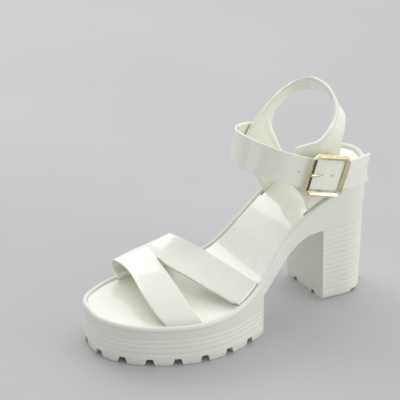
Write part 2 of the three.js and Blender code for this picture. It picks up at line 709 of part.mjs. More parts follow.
function bucklePlate() {
  const rail = strapWidth / 2 + railGap;
  const [outerX, outerY] = [buckleLength / 2, rail + buckleBar];
  const octagon = (x, y, corner) => [
    [-x + corner, -y], [x - corner, -y], [x, -y + corner], [x, y - corner],
    [x - corner, y], [-x + corner, y], [-x, y - corner], [-x, -y + corner],
  ].map(([a, b]) => new THREE.Vector2(a, b));
  const bevel = buckleBevel;
  const shape = new THREE.Shape(octagon(outerX - bevel, outerY - bevel, buckleChamfer));
  const opening = octagon(outerX - buckleBar + bevel, rail + bevel, openingChamfer).reverse();
  shape.holes.push(new THREE.Path(opening));
  const geometry = new THREE.ExtrudeGeometry(shape, {
    depth: buckleThickness - 2 * bevel,
    bevelEnabled: true,
    bevelThickness: bevel,
    bevelSize: bevel,
    bevelSegments: 1,
  });
  geometry.translate(0, 0, bevel);
  const plate = solidOf(geometry);
  const ears = [-1, 1].map((side) => {
    const height = buckleThickness / 2 - pivotZ + pivotRadius;
    const ear = new THREE.BoxGeometry(earLength, buckleBar - earMargin, height);
    ear.translate(0, side * (rail + buckleBar / 2), buckleThickness / 2 - height / 2);
    return solidOf(ear);
  });
  const pivot = new THREE.CylinderGeometry(pivotRadius, pivotRadius, 2 * rail + buckleBar, 12);
  pivot.translate(0, 0, pivotZ);
  const whole = [...ears, solidOf(pivot)].reduce((solid, extra) => solid.add(extra), plate);
  return whole.subtract(prongShank(prongRadius + clearance, 2 * prongTipInset));
}

// The tab: a strip folded round the pivot, slotted for the prong and sewn to the quarter.
function buckleTab() {
  const outer = bearing + tabWall;
  const shape = new THREE.Shape();
  shape.moveTo(tabLength, -outer);
  shape.lineTo(tabLength, -outer + 2 * tabWall);
  shape.lineTo(3 * outer, -outer + 2 * tabWall);
  shape.absarc(0, 0, outer, Math.PI / 2, (3 * Math.PI) / 2, false);
  shape.closePath();
  const hole = new THREE.Path();
  hole.absarc(0, 0, bearing, 0, 2 * Math.PI, true);
  shape.holes.push(hole);
  const options = { depth: tabWidth, curveSegments: 8, bevelEnabled: false };
  const geometry = new THREE.ExtrudeGeometry(shape, options);
  geometry.translate(0, 0, -tabWidth / 2);
  geometry.rotateX(Math.PI / 2);
  geometry.translate(0, 0, pivotZ);
  const slot = new THREE.BoxGeometry(4 * outer, prongSlot, 4 * outer);
  slot.translate(-outer + bearing + clearance, 0, pivotZ);
  return solidOf(geometry).subtract(solidOf(slot));
}

function buckleProng() {
  const eye = ring(bearing + prongRadius, bearing, 2 * prongRadius);
  eye.translate(0, 0, pivotZ);
  const bore = new THREE.CylinderGeometry(bearing, bearing, 4 * prongRadius, 16);
  bore.translate(0, 0, pivotZ);
  return solidOf(eye).add(prongShank(prongRadius)).subtract(solidOf(bore));
}

const inBuckle = (solid) => geometryOf(solid).applyMatrix4(buckleMatrix());

function ankleStrap() {
  const steps = 46;
  const grid = [];
  for (let i = 0; i <= steps; i += 1) {
    const { middle, width, along } = strapFrame(i / steps);
    const line = [-1, -0.5, 0, 0.5, 1].map((share) => {
      const point = middle.clone().addScaledVector(width, (share * strapWidth) / 2);
      return i < steps ? point : point.addScaledVector(along, -strapEndHollow * (1 - Math.abs(share)));
    });
    grid.push(line);
  }
  const hole = solidOf(inBuckle(prongShank(prongRadius + clearance)));
  return geometryOf(wallSolid(grid, strapWall).subtract(hole));
}

// Paint and metal of each piece
const materials = {
  sole: { color: 0xe9ece2, roughness: 0.45, metalness: 0 },
  patent: { color: 0xeef1ea, roughness: 0.14, metalness: 0 },
  gold: { color: 0xd8bd7c, roughness: 0.22, metalness: 1 },
};

function piece(name, geometry, look) {
  const mesh = new THREE.Mesh(geometry, new THREE.MeshStandardMaterial(materials[look]));
  mesh.name = name;
  return mesh;
}

const sandal = new THREE.Group();
sandal.add(piece("sole_unit", soleUnit(), "sole"));
sandal.add(piece("insole", insole(), "patent"));
sandal.add(piece("vamp", vamp(), "patent"));
sandal.add(piece("quarter", quarter(), "patent"));
sandal.add(piece("ankle_strap", ankleStrap(), "patent"));
sandal.add(piece("buckle_tab", inBuckle(buckleTab()), "patent"));
sandal.add(piece("buckle_frame", inBuckle(bucklePlate()), "gold"));
sandal.add(piece("buckle_prong", inBuckle(buckleProng()), "gold"));

export default sandal;
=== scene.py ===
"""Looks of a left platform sandal: patent straps and foot bed, moulded sole unit, plated buckle.

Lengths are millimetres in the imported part's own frame: +Z up, the toe towards -Y, the outer side
of the foot towards +X. Every mesh is scaled to metres when its object is made.
"""

import logging
import math
from dataclasses import dataclass, field
from enum import Enum
from typing import Callable, Optional, Protocol, Sequence

import bmesh
import bpy
import numpy as np
from mathutils import Matrix, Vector

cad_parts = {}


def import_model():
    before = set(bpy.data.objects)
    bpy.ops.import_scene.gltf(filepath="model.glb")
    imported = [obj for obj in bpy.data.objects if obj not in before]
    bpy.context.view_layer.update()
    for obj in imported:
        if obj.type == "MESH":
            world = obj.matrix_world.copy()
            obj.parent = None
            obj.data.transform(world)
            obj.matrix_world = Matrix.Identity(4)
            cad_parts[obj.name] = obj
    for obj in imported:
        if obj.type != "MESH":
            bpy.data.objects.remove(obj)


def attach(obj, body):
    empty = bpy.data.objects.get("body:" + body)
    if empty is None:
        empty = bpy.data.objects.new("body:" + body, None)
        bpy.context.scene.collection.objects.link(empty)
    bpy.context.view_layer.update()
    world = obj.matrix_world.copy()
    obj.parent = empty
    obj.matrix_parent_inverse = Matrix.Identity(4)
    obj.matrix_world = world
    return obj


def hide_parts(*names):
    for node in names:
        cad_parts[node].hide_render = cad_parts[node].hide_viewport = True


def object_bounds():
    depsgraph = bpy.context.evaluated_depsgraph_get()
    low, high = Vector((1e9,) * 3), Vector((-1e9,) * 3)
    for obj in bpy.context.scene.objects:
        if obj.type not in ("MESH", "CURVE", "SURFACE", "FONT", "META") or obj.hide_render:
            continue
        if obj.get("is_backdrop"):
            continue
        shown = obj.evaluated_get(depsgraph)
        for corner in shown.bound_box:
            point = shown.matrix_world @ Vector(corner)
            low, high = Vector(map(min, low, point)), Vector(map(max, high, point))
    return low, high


LOG = logging.getLogger("sandal")
METRES = 0.001
BODY = "root"
TINY = 1e-12
NUDGE = 1e-6
FLAT = 1e-8
ROUND_ANGLES = (0, 28, 55, 75, 90)
Rows = Sequence[dict[str, float]]


class Side(Enum):
    """The two sides of the foot, by the sign of x."""

    MEDIAL = -1
    LATERAL = 1


class Cut(Enum):
    """Ways to combine two closed meshes."""

    ADD = "UNION"
    TAKE = "DIFFERENCE"


class Table:
    """Rows of named columns, read along one key by a smooth curve that never passes its rows."""

    def __init__(self, key: str, rows: Rows) -> None:
        """Prepare the curve of every column.

        Args:
            key: Column that the others are read along.
            rows: Rows in rising order of the key.
        """
        self.keys = np.array([row[key] for row in rows], float)
        names = [name for name in rows[0] if name != key]
        self.columns = {name: np.array([row[name] for row in rows], float) for name in names}
        self.slopes = {name: self._slopes(values) for name, values in self.columns.items()}

    def _slopes(self, values: np.ndarray) -> np.ndarray:
        """Slopes at the rows that keep the curve between its neighbours.

        Args:
            values: One column.

        Returns:
            One slope for each row.
        """
        rate = np.diff(values) / np.diff(self.keys)
        before = np.concatenate([rate[:1], rate])
        after = np.concatenate([rate, rate[-1:]])
        least = 3 * np.minimum(abs(before), abs(after))
        return np.where(before * after <= 0, 0, np.clip((before + after) / 2, -least, least))

    def at(self, name: str, place: np.ndarray | float) -> np.ndarray:
        """Values of a column at some places along the key.

        Args:
            name: Column to read.
            place: One place or an array of them.

        Returns:
            The column's value at each place.
        """
        place = np.asarray(place, float)
        i = np.clip(np.searchsorted(self.keys, place, side="left") - 1, 0, len(self.keys) - 2)
        span = self.keys[i + 1] - self.keys[i]
        t = np.clip((place - self.keys[i]) / span, 0, 1)
        values, slopes = self.columns[name], self.slopes[name]
        low, high = values[i], values[i + 1]
        out, back = slopes[i] * span, slopes[i + 1] * span
        t2, t3 = t**2, t**3
        return (
            low * (2 * t3 - 3 * t2 + 1) + out * (t3 - 2 * t2 + t)
            + high * (3 * t2 - 2 * t3) + back * (t3 - t2)
        )


def smooth(value: np.ndarray | float, low: float, high: float) -> np.ndarray:
    """Smooth step.

    Args:
        value: Values to step.
        low: Value that gives 0.
        high: Value that gives 1.

    Returns:
        Steps between 0 and 1.
    """
    t = np.clip((np.asarray(value, float) - low) / (high - low), 0, 1)
    return t * t * (3 - 2 * t)


def unit(vectors: np.ndarray) -> np.ndarray:
    """Vectors along the last axis scaled to a length of one."""
    return vectors / np.maximum(np.linalg.norm(vectors, axis=-1, keepdims=True), TINY)


# Mesh helpers


@dataclass
class Draft:
    """A mesh being drawn: corners in millimetres, faces by the numbers of their corners."""

    corners: list[np.ndarray] = field(default_factory=list)
    faces: list[tuple[int, ...]] = field(default_factory=list)
    paints: list[int] = field(default_factory=list)

    def add(self, corners: np.ndarray, faces: Sequence[Sequence[int]]) -> None:
        """Add a group of corners and its faces, which take the first material.

        Args:
            corners: Array of N by 3 places.
            faces: Faces by number within the group.
        """
        start = len(self.corners)
        self.corners.extend(np.asarray(corners, float))
        self.faces.extend(tuple(start + k for k in face) for face in faces)
        self.paints.extend([0] * len(faces))

    def object(self, name: str, weld: float = 1e-3, crease: float = 35.0) -> bpy.types.Object:
        """Make an object of the draft, welded, facing out and smooth.

        Args:
            name: Name of the object.
            weld: Distance in millimetres under which corners become one.
            crease: Angle in degrees from which an edge stays sharp.

        Returns:
            The new object, linked to the scene.
        """
        mesh = bpy.data.meshes.new(name)
        mesh.from_pydata([tuple(corner * METRES) for corner in self.corners], [], self.faces)
        mesh.polygons.foreach_set("material_index", self.paints)
        bm = bmesh.new()
        bm.from_mesh(mesh)
        bmesh.ops.remove_doubles(bm, verts=bm.verts, dist=weld * METRES)
        bmesh.ops.dissolve_degenerate(bm, edges=bm.edges, dist=FLAT)
        bmesh.ops.recalc_face_normals(bm, faces=bm.faces)
        bm.to_mesh(mesh)
        bm.free()
        made = bpy.data.objects.new(name, mesh)
        bpy.context.scene.collection.objects.link(made)
        shade(made, crease)
        return made


def shade(made: bpy.types.Object, crease: float) -> None:
    """Shade an object smoothly, with sharp edges from an angle.

    Args:
        made: Object to shade.
        crease: Angle in degrees from which an edge stays sharp.
    """
    made.data.polygons.foreach_set("use_smooth", [True] * len(made.data.polygons))
    made.data.set_sharp_from_angle(angle=math.radians(crease))


def settle(made: bpy.types.Object) -> None:
    """Apply an object's modifiers to its mesh.

    Args:
        made: Object whose modifiers are applied and removed.
    """
    graph = bpy.context.evaluated_depsgraph_get()
    old = made.data
    fresh = bpy.data.meshes.new_from_object(made.evaluated_get(graph))
    made.modifiers.clear()
    made.data = fresh
    fresh.name = made.name
    bpy.data.meshes.remove(old)


def combine(target: bpy.types.Object, others: Sequence[bpy.types.Object], way: Cut) -> None:
    """Join closed meshes to a target or cut them from it, and delete them.

    Args:
        target: Mesh that is kept.
        others: Meshes that are used up.
        way: How they are combined.
    """
    for number, other in enumerate(others):
        modifier = target.modifiers.new(f"{way.name.lower()}_{number}", "BOOLEAN")
        modifier.operation = way.value
        modifier.solver = "MANIFOLD"
        modifier.object = other
    settle(target)
    for other in others:
        bpy.data.objects.remove(other)


def round_edges(made: bpy.types.Object, width: float, angle: float) -> None:
    """Round an object's sharp edges.

    Args:
        made: Object to round.
        width: Width of the rounding in millimetres.
        angle: Angle in degrees from which an edge is rounded.
    """
    rounding = made.modifiers.new("rounding", "BEVEL")
    rounding.width = width * METRES
    rounding.segments = 2
    rounding.limit_method = "ANGLE"
    rounding.angle_limit = math.radians(angle)
    rounding.use_clamp_overlap = True
    settle(made)


def circle(radius: float, count: int) -> np.ndarray:
    """Corners of a round outline, by its radius and their number."""
    angles = np.linspace(0, 2 * math.pi, count, endpoint=False)
    return np.stack([np.cos(angles), np.sin(angles)], axis=1) * radius


def bands(rings: int, count: int) -> list[tuple[int, ...]]:
    """Faces between neighbouring rings of points, numbered ring after ring.

    Args:
        rings: Number of rings.
        count: Points of each ring.

    Returns:
        Faces of four corners.
    """
    faces = []
    for k in range(rings - 1):
        for i in range(count):
            j = (i + 1) % count
            faces.append((k * count + i, (k + 1) * count + i, (k + 1) * count + j, k * count + j))
    return faces


def ring_stack(rings: Sequence[np.ndarray]) -> Draft:
    """A closed stack of rings whose points run down one side and back up the other.

    Args:
        rings: Rings of two equal sides, lowest first, each an array of points.

    Returns:
        The draft, closed at both ends by strips between the two sides.
    """
    draft = Draft()
    count = len(rings[0])
    half = count // 2
    faces = bands(len(rings), count)
    for base in (0, (len(rings) - 1) * count):
        for i in range(half - 1):
            faces.append((base + i, base + i + 1, base + count - 2 - i, base + count - 1 - i))
    draft.add(np.concatenate(rings), faces)
    return draft


def prism(outline: np.ndarray, low: float, high: float, place: Callable) -> Draft:
    """A closed prism of a flat outline.

    Args:
        outline: Array of N by 2 points.
        low: Where the prism starts along its own axis.
        high: Where it ends.
        place: Function that turns points (u, v, w) into places, w along the axis.

    Returns:
        The draft.
    """
    count = len(outline)
    points = [[u, v, w] for w in (low, high) for u, v in outline]
    faces = [(i, (i + 1) % count, count + (i + 1) % count, count + i) for i in range(count)]
    faces += [tuple(range(count))[::-1], tuple(range(count, 2 * count))]
    draft = Draft()
    draft.add(place(np.array(points, float)), faces)
    return draft


def tube(path: np.ndarray, radii: np.ndarray, sides: int) -> Draft:
    """A round bar along a path, closed at both ends.

    Args:
        path: Array of N by 3 points.
        radii: Radius at each point.
        sides: Corners of the round section.

    Returns:
        The draft.
    """
    along = unit(np.gradient(path, axis=0))
    side = unit(np.cross(along, np.array([0.0, 1.0, 0.0]) + NUDGE))
    above = np.cross(along, side)
    angles = np.linspace(0, 2 * math.pi, sides, endpoint=False)
    rings = [
        path[k] + radii[k] * (np.outer(np.cos(angles), side[k]) + np.outer(np.sin(angles), above[k]))
        for k in range(len(path))
    ]
    draft = Draft()
    faces = []
    for k in range(len(path) - 1):
        for i in range(sides):
            j = (i + 1) % sides
            faces.append((k * sides + i, k * sides + j, (k + 1) * sides + j, (k + 1) * sides + i))
    faces.append(tuple(range(sides)))
    faces.append(tuple(range((len(path) - 1) * sides, len(path) * sides))[::-1])
    draft.add(np.concatenate(rings), faces)
    return draft


def through(points: np.ndarray, count: int) -> np.ndarray:
    """Points on a smooth curve through a few places.

    Args:
        points: Array of N by 3 places.
        count: How many points the curve gets.

    Returns:
        Array of count by 3 points.
    """
    step = np.linspace(0, 1, len(points))
    rows = [dict(step=s, x=p[0], y=p[1], z=p[2]) for s, p in zip(step, points)]
    table = Table("step", rows)
    at = np.linspace(0, 1, count)
    return np.stack([table.at(axis, at) for axis in "xyz"], axis=1)


def edge_steps(fine: float, count: int, near: float = 0.0, near_count: int = 0) -> np.ndarray:
    """Shares from 0 to 1 that are dense at both ends, for a wall's rounded edges.

    Args:
        fine: Share that the edge's radius takes.
        count: Even steps between the dense ends.
        near: Share next to each end that gets closer steps, 0 for none.
        near_count: How many closer steps.

    Returns:
        Rising shares.
    """
    ends = fine * (1 - np.cos(np.radians(ROUND_ANGLES)))
    if near_count:
        ends = np.concatenate([ends, np.linspace(fine, near, near_count + 1)[1:]])
    return np.concatenate([ends, np.linspace(ends[-1], 1 - ends[-1], count + 1)[1:-1], 1 - ends[::-1]])


def lengths(grid: np.ndarray) -> np.ndarray:
    """Length travelled along each row of a grid, from its first column."""
    moves = np.linalg.norm(np.diff(grid, axis=1), axis=2)
    return np.concatenate([np.zeros((grid.shape[0], 1)), np.cumsum(moves, axis=1)], axis=1)


def down_lengths(grid: np.ndarray) -> np.ndarray:
    """Length travelled down each column of a grid, from its first row."""
    return lengths(grid.transpose(1, 0, 2)).T


def travel(line: np.ndarray) -> np.ndarray:
    """Length travelled along a line of points, from its first point."""
    return lengths(line[None])[0]


def pick(line: np.ndarray, travelled: np.ndarray, place: float | np.ndarray) -> np.ndarray:
    """Points of a line at lengths along it.

    Args:
        line: Points of the line.
        travelled: Length travelled to each point.
        place: One length or an array of them.

    Returns:
        One point, or an array of points.
    """
    return np.stack([np.interp(place, travelled, line[:, k]) for k in range(line.shape[1])], axis=-1)


def grid_normals(grid: np.ndarray) -> np.ndarray:
    """Directions square to a grid of points."""
    return unit(np.cross(np.gradient(grid, axis=0), np.gradient(grid, axis=1)))


@dataclass
class StrapWall:
    """A strap of even thickness around middle points, its cut edges rounded and painted.

    A split strap parts in two after the column named split, below its whole rows.
    """

    name: str
    grid: np.ndarray
    wall: float
    edge: float = 0.45
    free_ends: bool = True
    split: int = -1
    whole_rows: int = 0
    far: float = 1e3
    least_round: float = 0.02
    weld: float = 2e-3
    crease: float = 70.0

    def _halves(self) -> list[tuple[int, int]]:
        """Ranges of columns that are straps of their own."""
        wide = self.grid.shape[1]
        return [(0, wide)] if self.split < 0 else [(0, self.split + 1), (self.split + 1, wide)]

    def _normals(self) -> np.ndarray:
        """Directions out of the strap, shared along the join of two straps.

        Returns:
            One direction for each middle point.
        """
        normals = np.concatenate([grid_normals(self.grid[:, a:b]) for a, b in self._halves()], axis=1)
        if self.split >= 0:
            rows = slice(0, self.whole_rows)
            shared = unit(normals[rows, self.split] + normals[rows, self.split + 1])
            normals[rows, self.split] = normals[rows, self.split + 1] = shared
        return normals

    def _half_wall(self) -> np.ndarray:
        """Half of the wall at each point, thinner within the edge's radius of a cut edge.

        Returns:
            One half thickness for each middle point.
        """
        reach = np.full(self.grid.shape[:2], self.far)
        for number, (a, b) in enumerate(self._halves()):
            along = lengths(self.grid[:, a:b])
            from_start, from_end = along, along[:, -1:] - along
            if self.split >= 0:
                whole = (np.arange(len(along)) < self.whole_rows)[:, None]
                if number == 0:
                    from_end = np.where(whole, self.far, from_end)
                else:
                    from_start = np.where(whole, self.far, from_start)
            reach[:, a:b] = np.minimum(from_start, from_end)
        if self.free_ends:
            along = down_lengths(self.grid)
            reach = np.minimum(reach, np.minimum(along, along[-1:] - along))
        near = self.edge - np.minimum(reach, self.edge)
        return self.wall / 2 - self.edge + np.sqrt(np.maximum(self.edge**2 - near**2, 0))

    def object(self) -> bpy.types.Object:
        """Make the closed wall; its rim and rounded edges take the second material.

        Returns:
            The new object.
        """
        rows, columns = self.grid.shape[:2]
        normals, half = self._normals(), self._half_wall()[..., None]
        corners = np.concatenate([
            (self.grid + normals * half).reshape(-1, 3), (self.grid - normals * half).reshape(-1, 3)
        ])
        under = rows * columns
        rounded = half[..., 0] < self.wall / 2 - self.least_round

        def filled(i: int, j: int) -> bool:
            """Whether a cell of the grid belongs to the strap."""
            return 0 <= i < rows - 1 and 0 <= j < columns - 1 and j != self.split

        draft = Draft()
        groups: tuple[list, list] = ([], [])
        for i in range(rows - 1):
            for j in range(columns - 1):
                if not filled(i, j):
                    continue
                a, b = i * columns + j, (i + 1) * columns + j
                c, d = b + 1, a + 1
                edge = int(rounded[i:i + 2, j:j + 2].any())
                groups[edge].append((a, b, c, d))
                groups[edge].append((under + a, under + d, under + c, under + b))
                joined = self.split >= 0 and i + 1 < self.whole_rows
                for missing, (m, n) in (
                    (not filled(i - 1, j), (d, a)),
                    (not filled(i + 1, j), (b, c)),
                    (not filled(i, j - 1) and not (joined and j == self.split + 1), (a, b)),
                    (not filled(i, j + 1) and not (joined and j == self.split - 1), (c, d)),
                ):
                    if missing:
                        groups[1].append((n, m, under + m, under + n))
        draft.corners = list(corners)
        for paint, faces in enumerate(groups):
            draft.faces.extend(faces)
            draft.paints.extend([paint] * len(faces))
        return draft.object(self.name, self.weld, self.crease)


# Finishes


@dataclass(frozen=True)
class Grain:
    """Noise by the size of its features in millimetres, spread from a low to a high value."""

    size: float
    detail: float
    low: float = 0.0
    high: float = 1.0


@dataclass(frozen=True)
class Relief:
    """A layer of relief by the size of its features and its depth, both in millimetres."""

    size: float
    detail: float
    depth: float
    stretch: Optional[tuple[float, float, float]] = None


class Nodes:
    """Shorthand for building one node material."""

    COLOURS = (6, 7)
    COLOUR_OUT = 2
    CORNER_SAMPLES = 6
    NOISE_RANGE = (0.2, 0.8)

    def __init__(self, name: str) -> None:
        """Start a material with its surface shader.

        Args:
            name: Name of the material.
        """
        self.material = bpy.data.materials.new(name)
        self.material.use_nodes = True
        self.tree = self.material.node_tree
        self.shader = self.tree.nodes["Principled BSDF"]
        self.place = self.tree.nodes.new("ShaderNodeTexCoord").outputs["Object"]

    def set(self, **values: object) -> None:
        """Set plain values on the surface shader, words joined by an underscore."""
        for name, value in values.items():
            self.shader.inputs[name.replace("_", " ")].default_value = value

    def node(self, kind: str, links: Optional[dict] = None, **values: object) -> bpy.types.Node:
        """Add a node.

        Args:
            kind: Blender's name of the node type.
            links: Output sockets to link, by the name or number of the input.
            values: Properties of the node, or input values where the name is an input.

        Returns:
            The node.
        """
        node = self.tree.nodes.new(kind)
        for name, value in values.items():
            if hasattr(node, name):
                setattr(node, name, value)
            else:
                node.inputs[name.replace("_", " ")].default_value = value
        for name, output in (links or {}).items():
            self.tree.links.new(output, node.inputs[name])
        return node

    def noise(self, size: float, detail: float = 2.0,
              stretch: Optional[tuple] = None) -> bpy.types.NodeSocket:
        """Noise whose features are about a size in millimetres.

        Args:
            size: Feature size in millimetres.
            detail: Levels of finer noise.
            stretch: Scales of the three axes, for drawn-out noise.

        Returns:
            Output socket of values about one half.
        """
        place = self.place
        if stretch is not None:
            place = self.node("ShaderNodeMapping", {"Vector": place}, Scale=stretch).outputs["Vector"]
        made = self.node("ShaderNodeTexNoise", {"Vector": place}, Scale=1 / (size * METRES), Detail=detail)
        return made.outputs["Fac"]

    def height(self, low: float, high: float) -> bpy.types.NodeSocket:
        """Value that rises from 0 to 1 between two heights.

        Args:
            low: Height in millimetres that gives 0.
            high: Height in millimetres that gives 1.

        Returns:
            Output socket.
        """
        parts = self.node("ShaderNodeSeparateXYZ", {"Vector": self.place})
        made = self.node("ShaderNodeMapRange", {"Value": parts.outputs["Z"]})
        made.inputs["From Min"].default_value = low * METRES
        made.inputs["From Max"].default_value = high * METRES
        return made.outputs["Result"]

    def blend(self, amount: bpy.types.NodeSocket, first: tuple, second: tuple) -> bpy.types.NodeSocket:
        """Blend of two colours.

        Args:
            amount: Share of the second colour.
            first: First colour.
            second: Second colour.

        Returns:
            Output socket.
        """
        made = self.node("ShaderNodeMix", {"Factor": amount}, data_type="RGBA")
        for number, colour in zip(self.COLOURS, (first, second)):
            made.inputs[number].default_value = (*colour, 1)
        return made.outputs[self.COLOUR_OUT]

    def grain(self, grain: Grain) -> bpy.types.NodeSocket:
        """Noise spread over the range of a grain.

        Args:
            grain: The grain.

        Returns:
            Output socket.
        """
        value = self.noise(grain.size, grain.detail)
        made = self.node("ShaderNodeMapRange", {"Value": value}, interpolation_type="SMOOTHSTEP")
        start, end = self.NOISE_RANGE
        ranges = {"From Min": start, "From Max": end, "To Min": grain.low, "To Max": grain.high}
        for name, number in ranges.items():
            made.inputs[name].default_value = number
        return made.outputs["Result"]

    def mottle(self, finish: "Finish") -> bpy.types.NodeSocket:
        """A finish's two colours, blended by its own noise."""
        return self.blend(self.grain(finish.mottle), finish.shade, finish.light)

    def bump(self, layers: Sequence[Relief], corner: float = 0.0) -> None:
        """Lay relief over the surface.

        Args:
            layers: Layers of relief, the lowest first.
            corner: Radius in millimetres that softens every hard corner, 0 for none.
        """
        normal = None
        if corner:
            rounded = self.node("ShaderNodeBevel", samples=self.CORNER_SAMPLES)
            rounded.inputs["Radius"].default_value = corner * METRES
            normal = rounded.outputs["Normal"]
        for layer in layers:
            links = {"Height": self.noise(layer.size, layer.detail, layer.stretch)}
            if normal is not None:
                links["Normal"] = normal
            made = self.node("ShaderNodeBump", links)
            made.inputs["Strength"].default_value = 1.0
            made.inputs["Distance"].default_value = layer.depth * METRES
            normal = made.outputs["Normal"]
        self.tree.links.new(normal, self.shader.inputs["Normal"])

    def paint(self, socket: bpy.types.NodeSocket, name: str = "Base Color") -> None:
        """Link a socket to an input of the surface shader."""
        self.tree.links.new(socket, self.shader.inputs[name])


class Finish(Protocol):
    """What every finish has: a name, two colours, their mottling and a way to build its material."""

    name: str
    light: tuple[float, float, float]
    shade: tuple[float, float, float]
    mottle: Grain

    def material(self) -> bpy.types.Material:
        """Build the material."""


@dataclass(frozen=True)
class PatentFinish:
    """Gloss-lacquered strap and foot bed leather: slow waves, faint grain and handling marks."""

    name: str
    light: tuple[float, float, float] = (0.89, 0.905, 0.79)
    shade: tuple[float, float, float] = (0.88, 0.896, 0.778)
    mottle: Grain = Grain(22, 3)
    gloss: Grain = Grain(14, 1, 0.26, 0.3)
    wave: float = 17.0
    wave_depth: float = 0.13
    pores: tuple[Relief, ...] = (Relief(3.2, 1, 0.004), Relief(0.6, 2, 0.0012))

    def material(self) -> bpy.types.Material:
        """Build the material.

        Returns:
            The new material.
        """
        nodes = Nodes(self.name)
        nodes.set(Coat_Weight=1.0, Coat_Roughness=0.06, Coat_IOR=1.5)
        nodes.set(Specular_IOR_Level=0.5, Subsurface_Weight=0.04, Subsurface_Scale=0.001)
        nodes.paint(nodes.mottle(self))
        nodes.paint(nodes.grain(self.gloss), "Roughness")
        nodes.bump([Relief(self.wave, 1, self.wave_depth), *self.pores])
        return nodes.material


@dataclass(frozen=True)
class EdgeFinish:
    """Painted cut edge of a strap, a little brighter and less glossy than its face."""

    name: str
    light: tuple[float, float, float] = (0.92, 0.93, 0.85)
    shade: tuple[float, float, float] = (0.86, 0.87, 0.79)
    mottle: Grain = Grain(6, 3)
    gloss: Grain = Grain(2, 3, 0.35, 0.5)
    brushed: Relief = Relief(1.4, 3, 0.03)

    def material(self) -> bpy.types.Material:
        """Build the material.

        Returns:
            The new material.
        """
        nodes = Nodes(self.name)
        nodes.set(Coat_Weight=0.5, Coat_Roughness=0.2)
        nodes.paint(nodes.mottle(self))
        nodes.paint(nodes.grain(self.gloss), "Roughness")
        nodes.bump([self.brushed])
        return nodes.material


@dataclass(frozen=True)
class MouldedFinish:
    """Satin moulded sole compound: fine mould grain, soft corners, a dull scuffed tread."""

    name: str
    light: tuple[float, float, float] = (0.84, 0.855, 0.765)
    shade: tuple[float, float, float] = (0.815, 0.83, 0.74)
    scuffed: tuple[float, float, float] = (0.62, 0.62, 0.59)
    scuff_height: float = 3.0
    corner: float = 0.45
    mottle: Grain = Grain(30, 3)
    gloss: Grain = Grain(7, 4, 0.4, 0.52)
    patches: Grain = Grain(3, 4, 0.1, 0.9)
    texture: tuple[Relief, ...] = (Relief(26, 1, 0.06), Relief(1.1, 2, 0.004), Relief(0.35, 2, 0.0015))

    def material(self) -> bpy.types.Material:
        """Build the material.

        Returns:
            The new material.
        """
        nodes = Nodes(self.name)
        nodes.set(Coat_Weight=0.22, Coat_Roughness=0.28, Subsurface_Weight=0.05, Subsurface_Scale=0.002)
        low, patchy = nodes.height(self.scuff_height, 0), nodes.grain(self.patches)
        worn = nodes.node("ShaderNodeMath", {0: low, 1: patchy}, operation="MULTIPLY").outputs[0]
        clean, scuffed = nodes.COLOURS
        links = {"Factor": worn, clean: nodes.mottle(self)}
        mixed = nodes.node("ShaderNodeMix", links, data_type="RGBA")
        mixed.inputs[scuffed].default_value = (*self.scuffed, 1)
        nodes.paint(mixed.outputs[nodes.COLOUR_OUT])
        nodes.paint(nodes.grain(self.gloss), "Roughness")
        nodes.bump(self.texture, self.corner)
        return nodes.material


@dataclass(frozen=True)
class PlatedFinish:
    """Pale gold plating, polished, with faint polishing lines and rubbed corners."""

    name: str
    light: tuple[float, float, float] = (0.93, 0.84, 0.6)
    shade: tuple[float, float, float] = (0.82, 0.71, 0.46)
    mottle: Grain = Grain(4, 4)
    gloss: Grain = Grain(1.6, 4, 0.07, 0.15)
    polish: tuple[Relief, ...] = (Relief(0.5, 3, 0.004, (1, 4, 1)), Relief(5, 1, 0.03))
    corner: float = 0.15

    def material(self) -> bpy.types.Material:
        """Build the material.

        Returns:
            The new material.
        """
        nodes = Nodes(self.name)
        nodes.set(Metallic=1.0)
        nodes.paint(nodes.mottle(self))
        nodes.paint(nodes.grain(self.gloss), "Roughness")
        nodes.bump(self.polish, self.corner)
        return nodes.material


@dataclass(frozen=True)
class PaintedShadeFinish:
    """Very dark bronze glossy fill with a faint relief: painted shade and painted dark reflection in a
    channel.
    """

    name: str
    # Painted shade: both tones are near-black brown, standing in for the dark that the plated bar reflects.
    light: tuple[float, float, float] = (0.07, 0.045, 0.035)
    shade: tuple[float, float, float] = (0.025, 0.016, 0.014)
    mottle: Grain = Grain(3, 3)
    gloss: Grain = Grain(1.5, 3, 0.2, 0.32)
    fill_relief: Relief = Relief(2, 2, 0.02)

    def material(self) -> bpy.types.Material:
        """Build the material.

        Returns:
            The new material.
        """
        nodes = Nodes(self.name)
        nodes.set(Coat_Weight=0.6, Coat_Roughness=0.08)
        nodes.paint(nodes.mottle(self))
        nodes.paint(nodes.grain(self.gloss), "Roughness")
        nodes.bump([self.fill_relief])
        return nodes.material


@dataclass(frozen=True)
class ThreadFinish:
    """Bonded sewing thread with a fine twist."""

    name: str
    light: tuple[float, float, float] = (0.84, 0.85, 0.81)
    shade: tuple[float, float, float] = (0.7, 0.71, 0.67)
    mottle: Grain = Grain(0.5, 2)
    twist: Relief = Relief(0.25, 2, 0.04, (3, 1, 1))

    def material(self) -> bpy.types.Material:
        """Build the material.

        Returns:
            The new material.
        """
        nodes = Nodes(self.name)
        nodes.set(Roughness=0.5, Sheen_Weight=0.2)
        nodes.paint(nodes.mottle(self))
        nodes.bump([self.twist])
        return nodes.material


@dataclass(frozen=True)
class FloorFinish:
    """Plain pale studio floor."""

    name: str
    light: tuple[float, float, float] = (0.53, 0.525, 0.535)
    shade: tuple[float, float, float] = (0.51, 0.505, 0.515)
    mottle: Grain = Grain(160, 2)

    def material(self) -> bpy.types.Material:
        """Build the material.

        Returns:
            The new material.
        """
        nodes = Nodes(self.name)
        nodes.set(Roughness=0.7)
        nodes.paint(nodes.mottle(self))
        return nodes.material


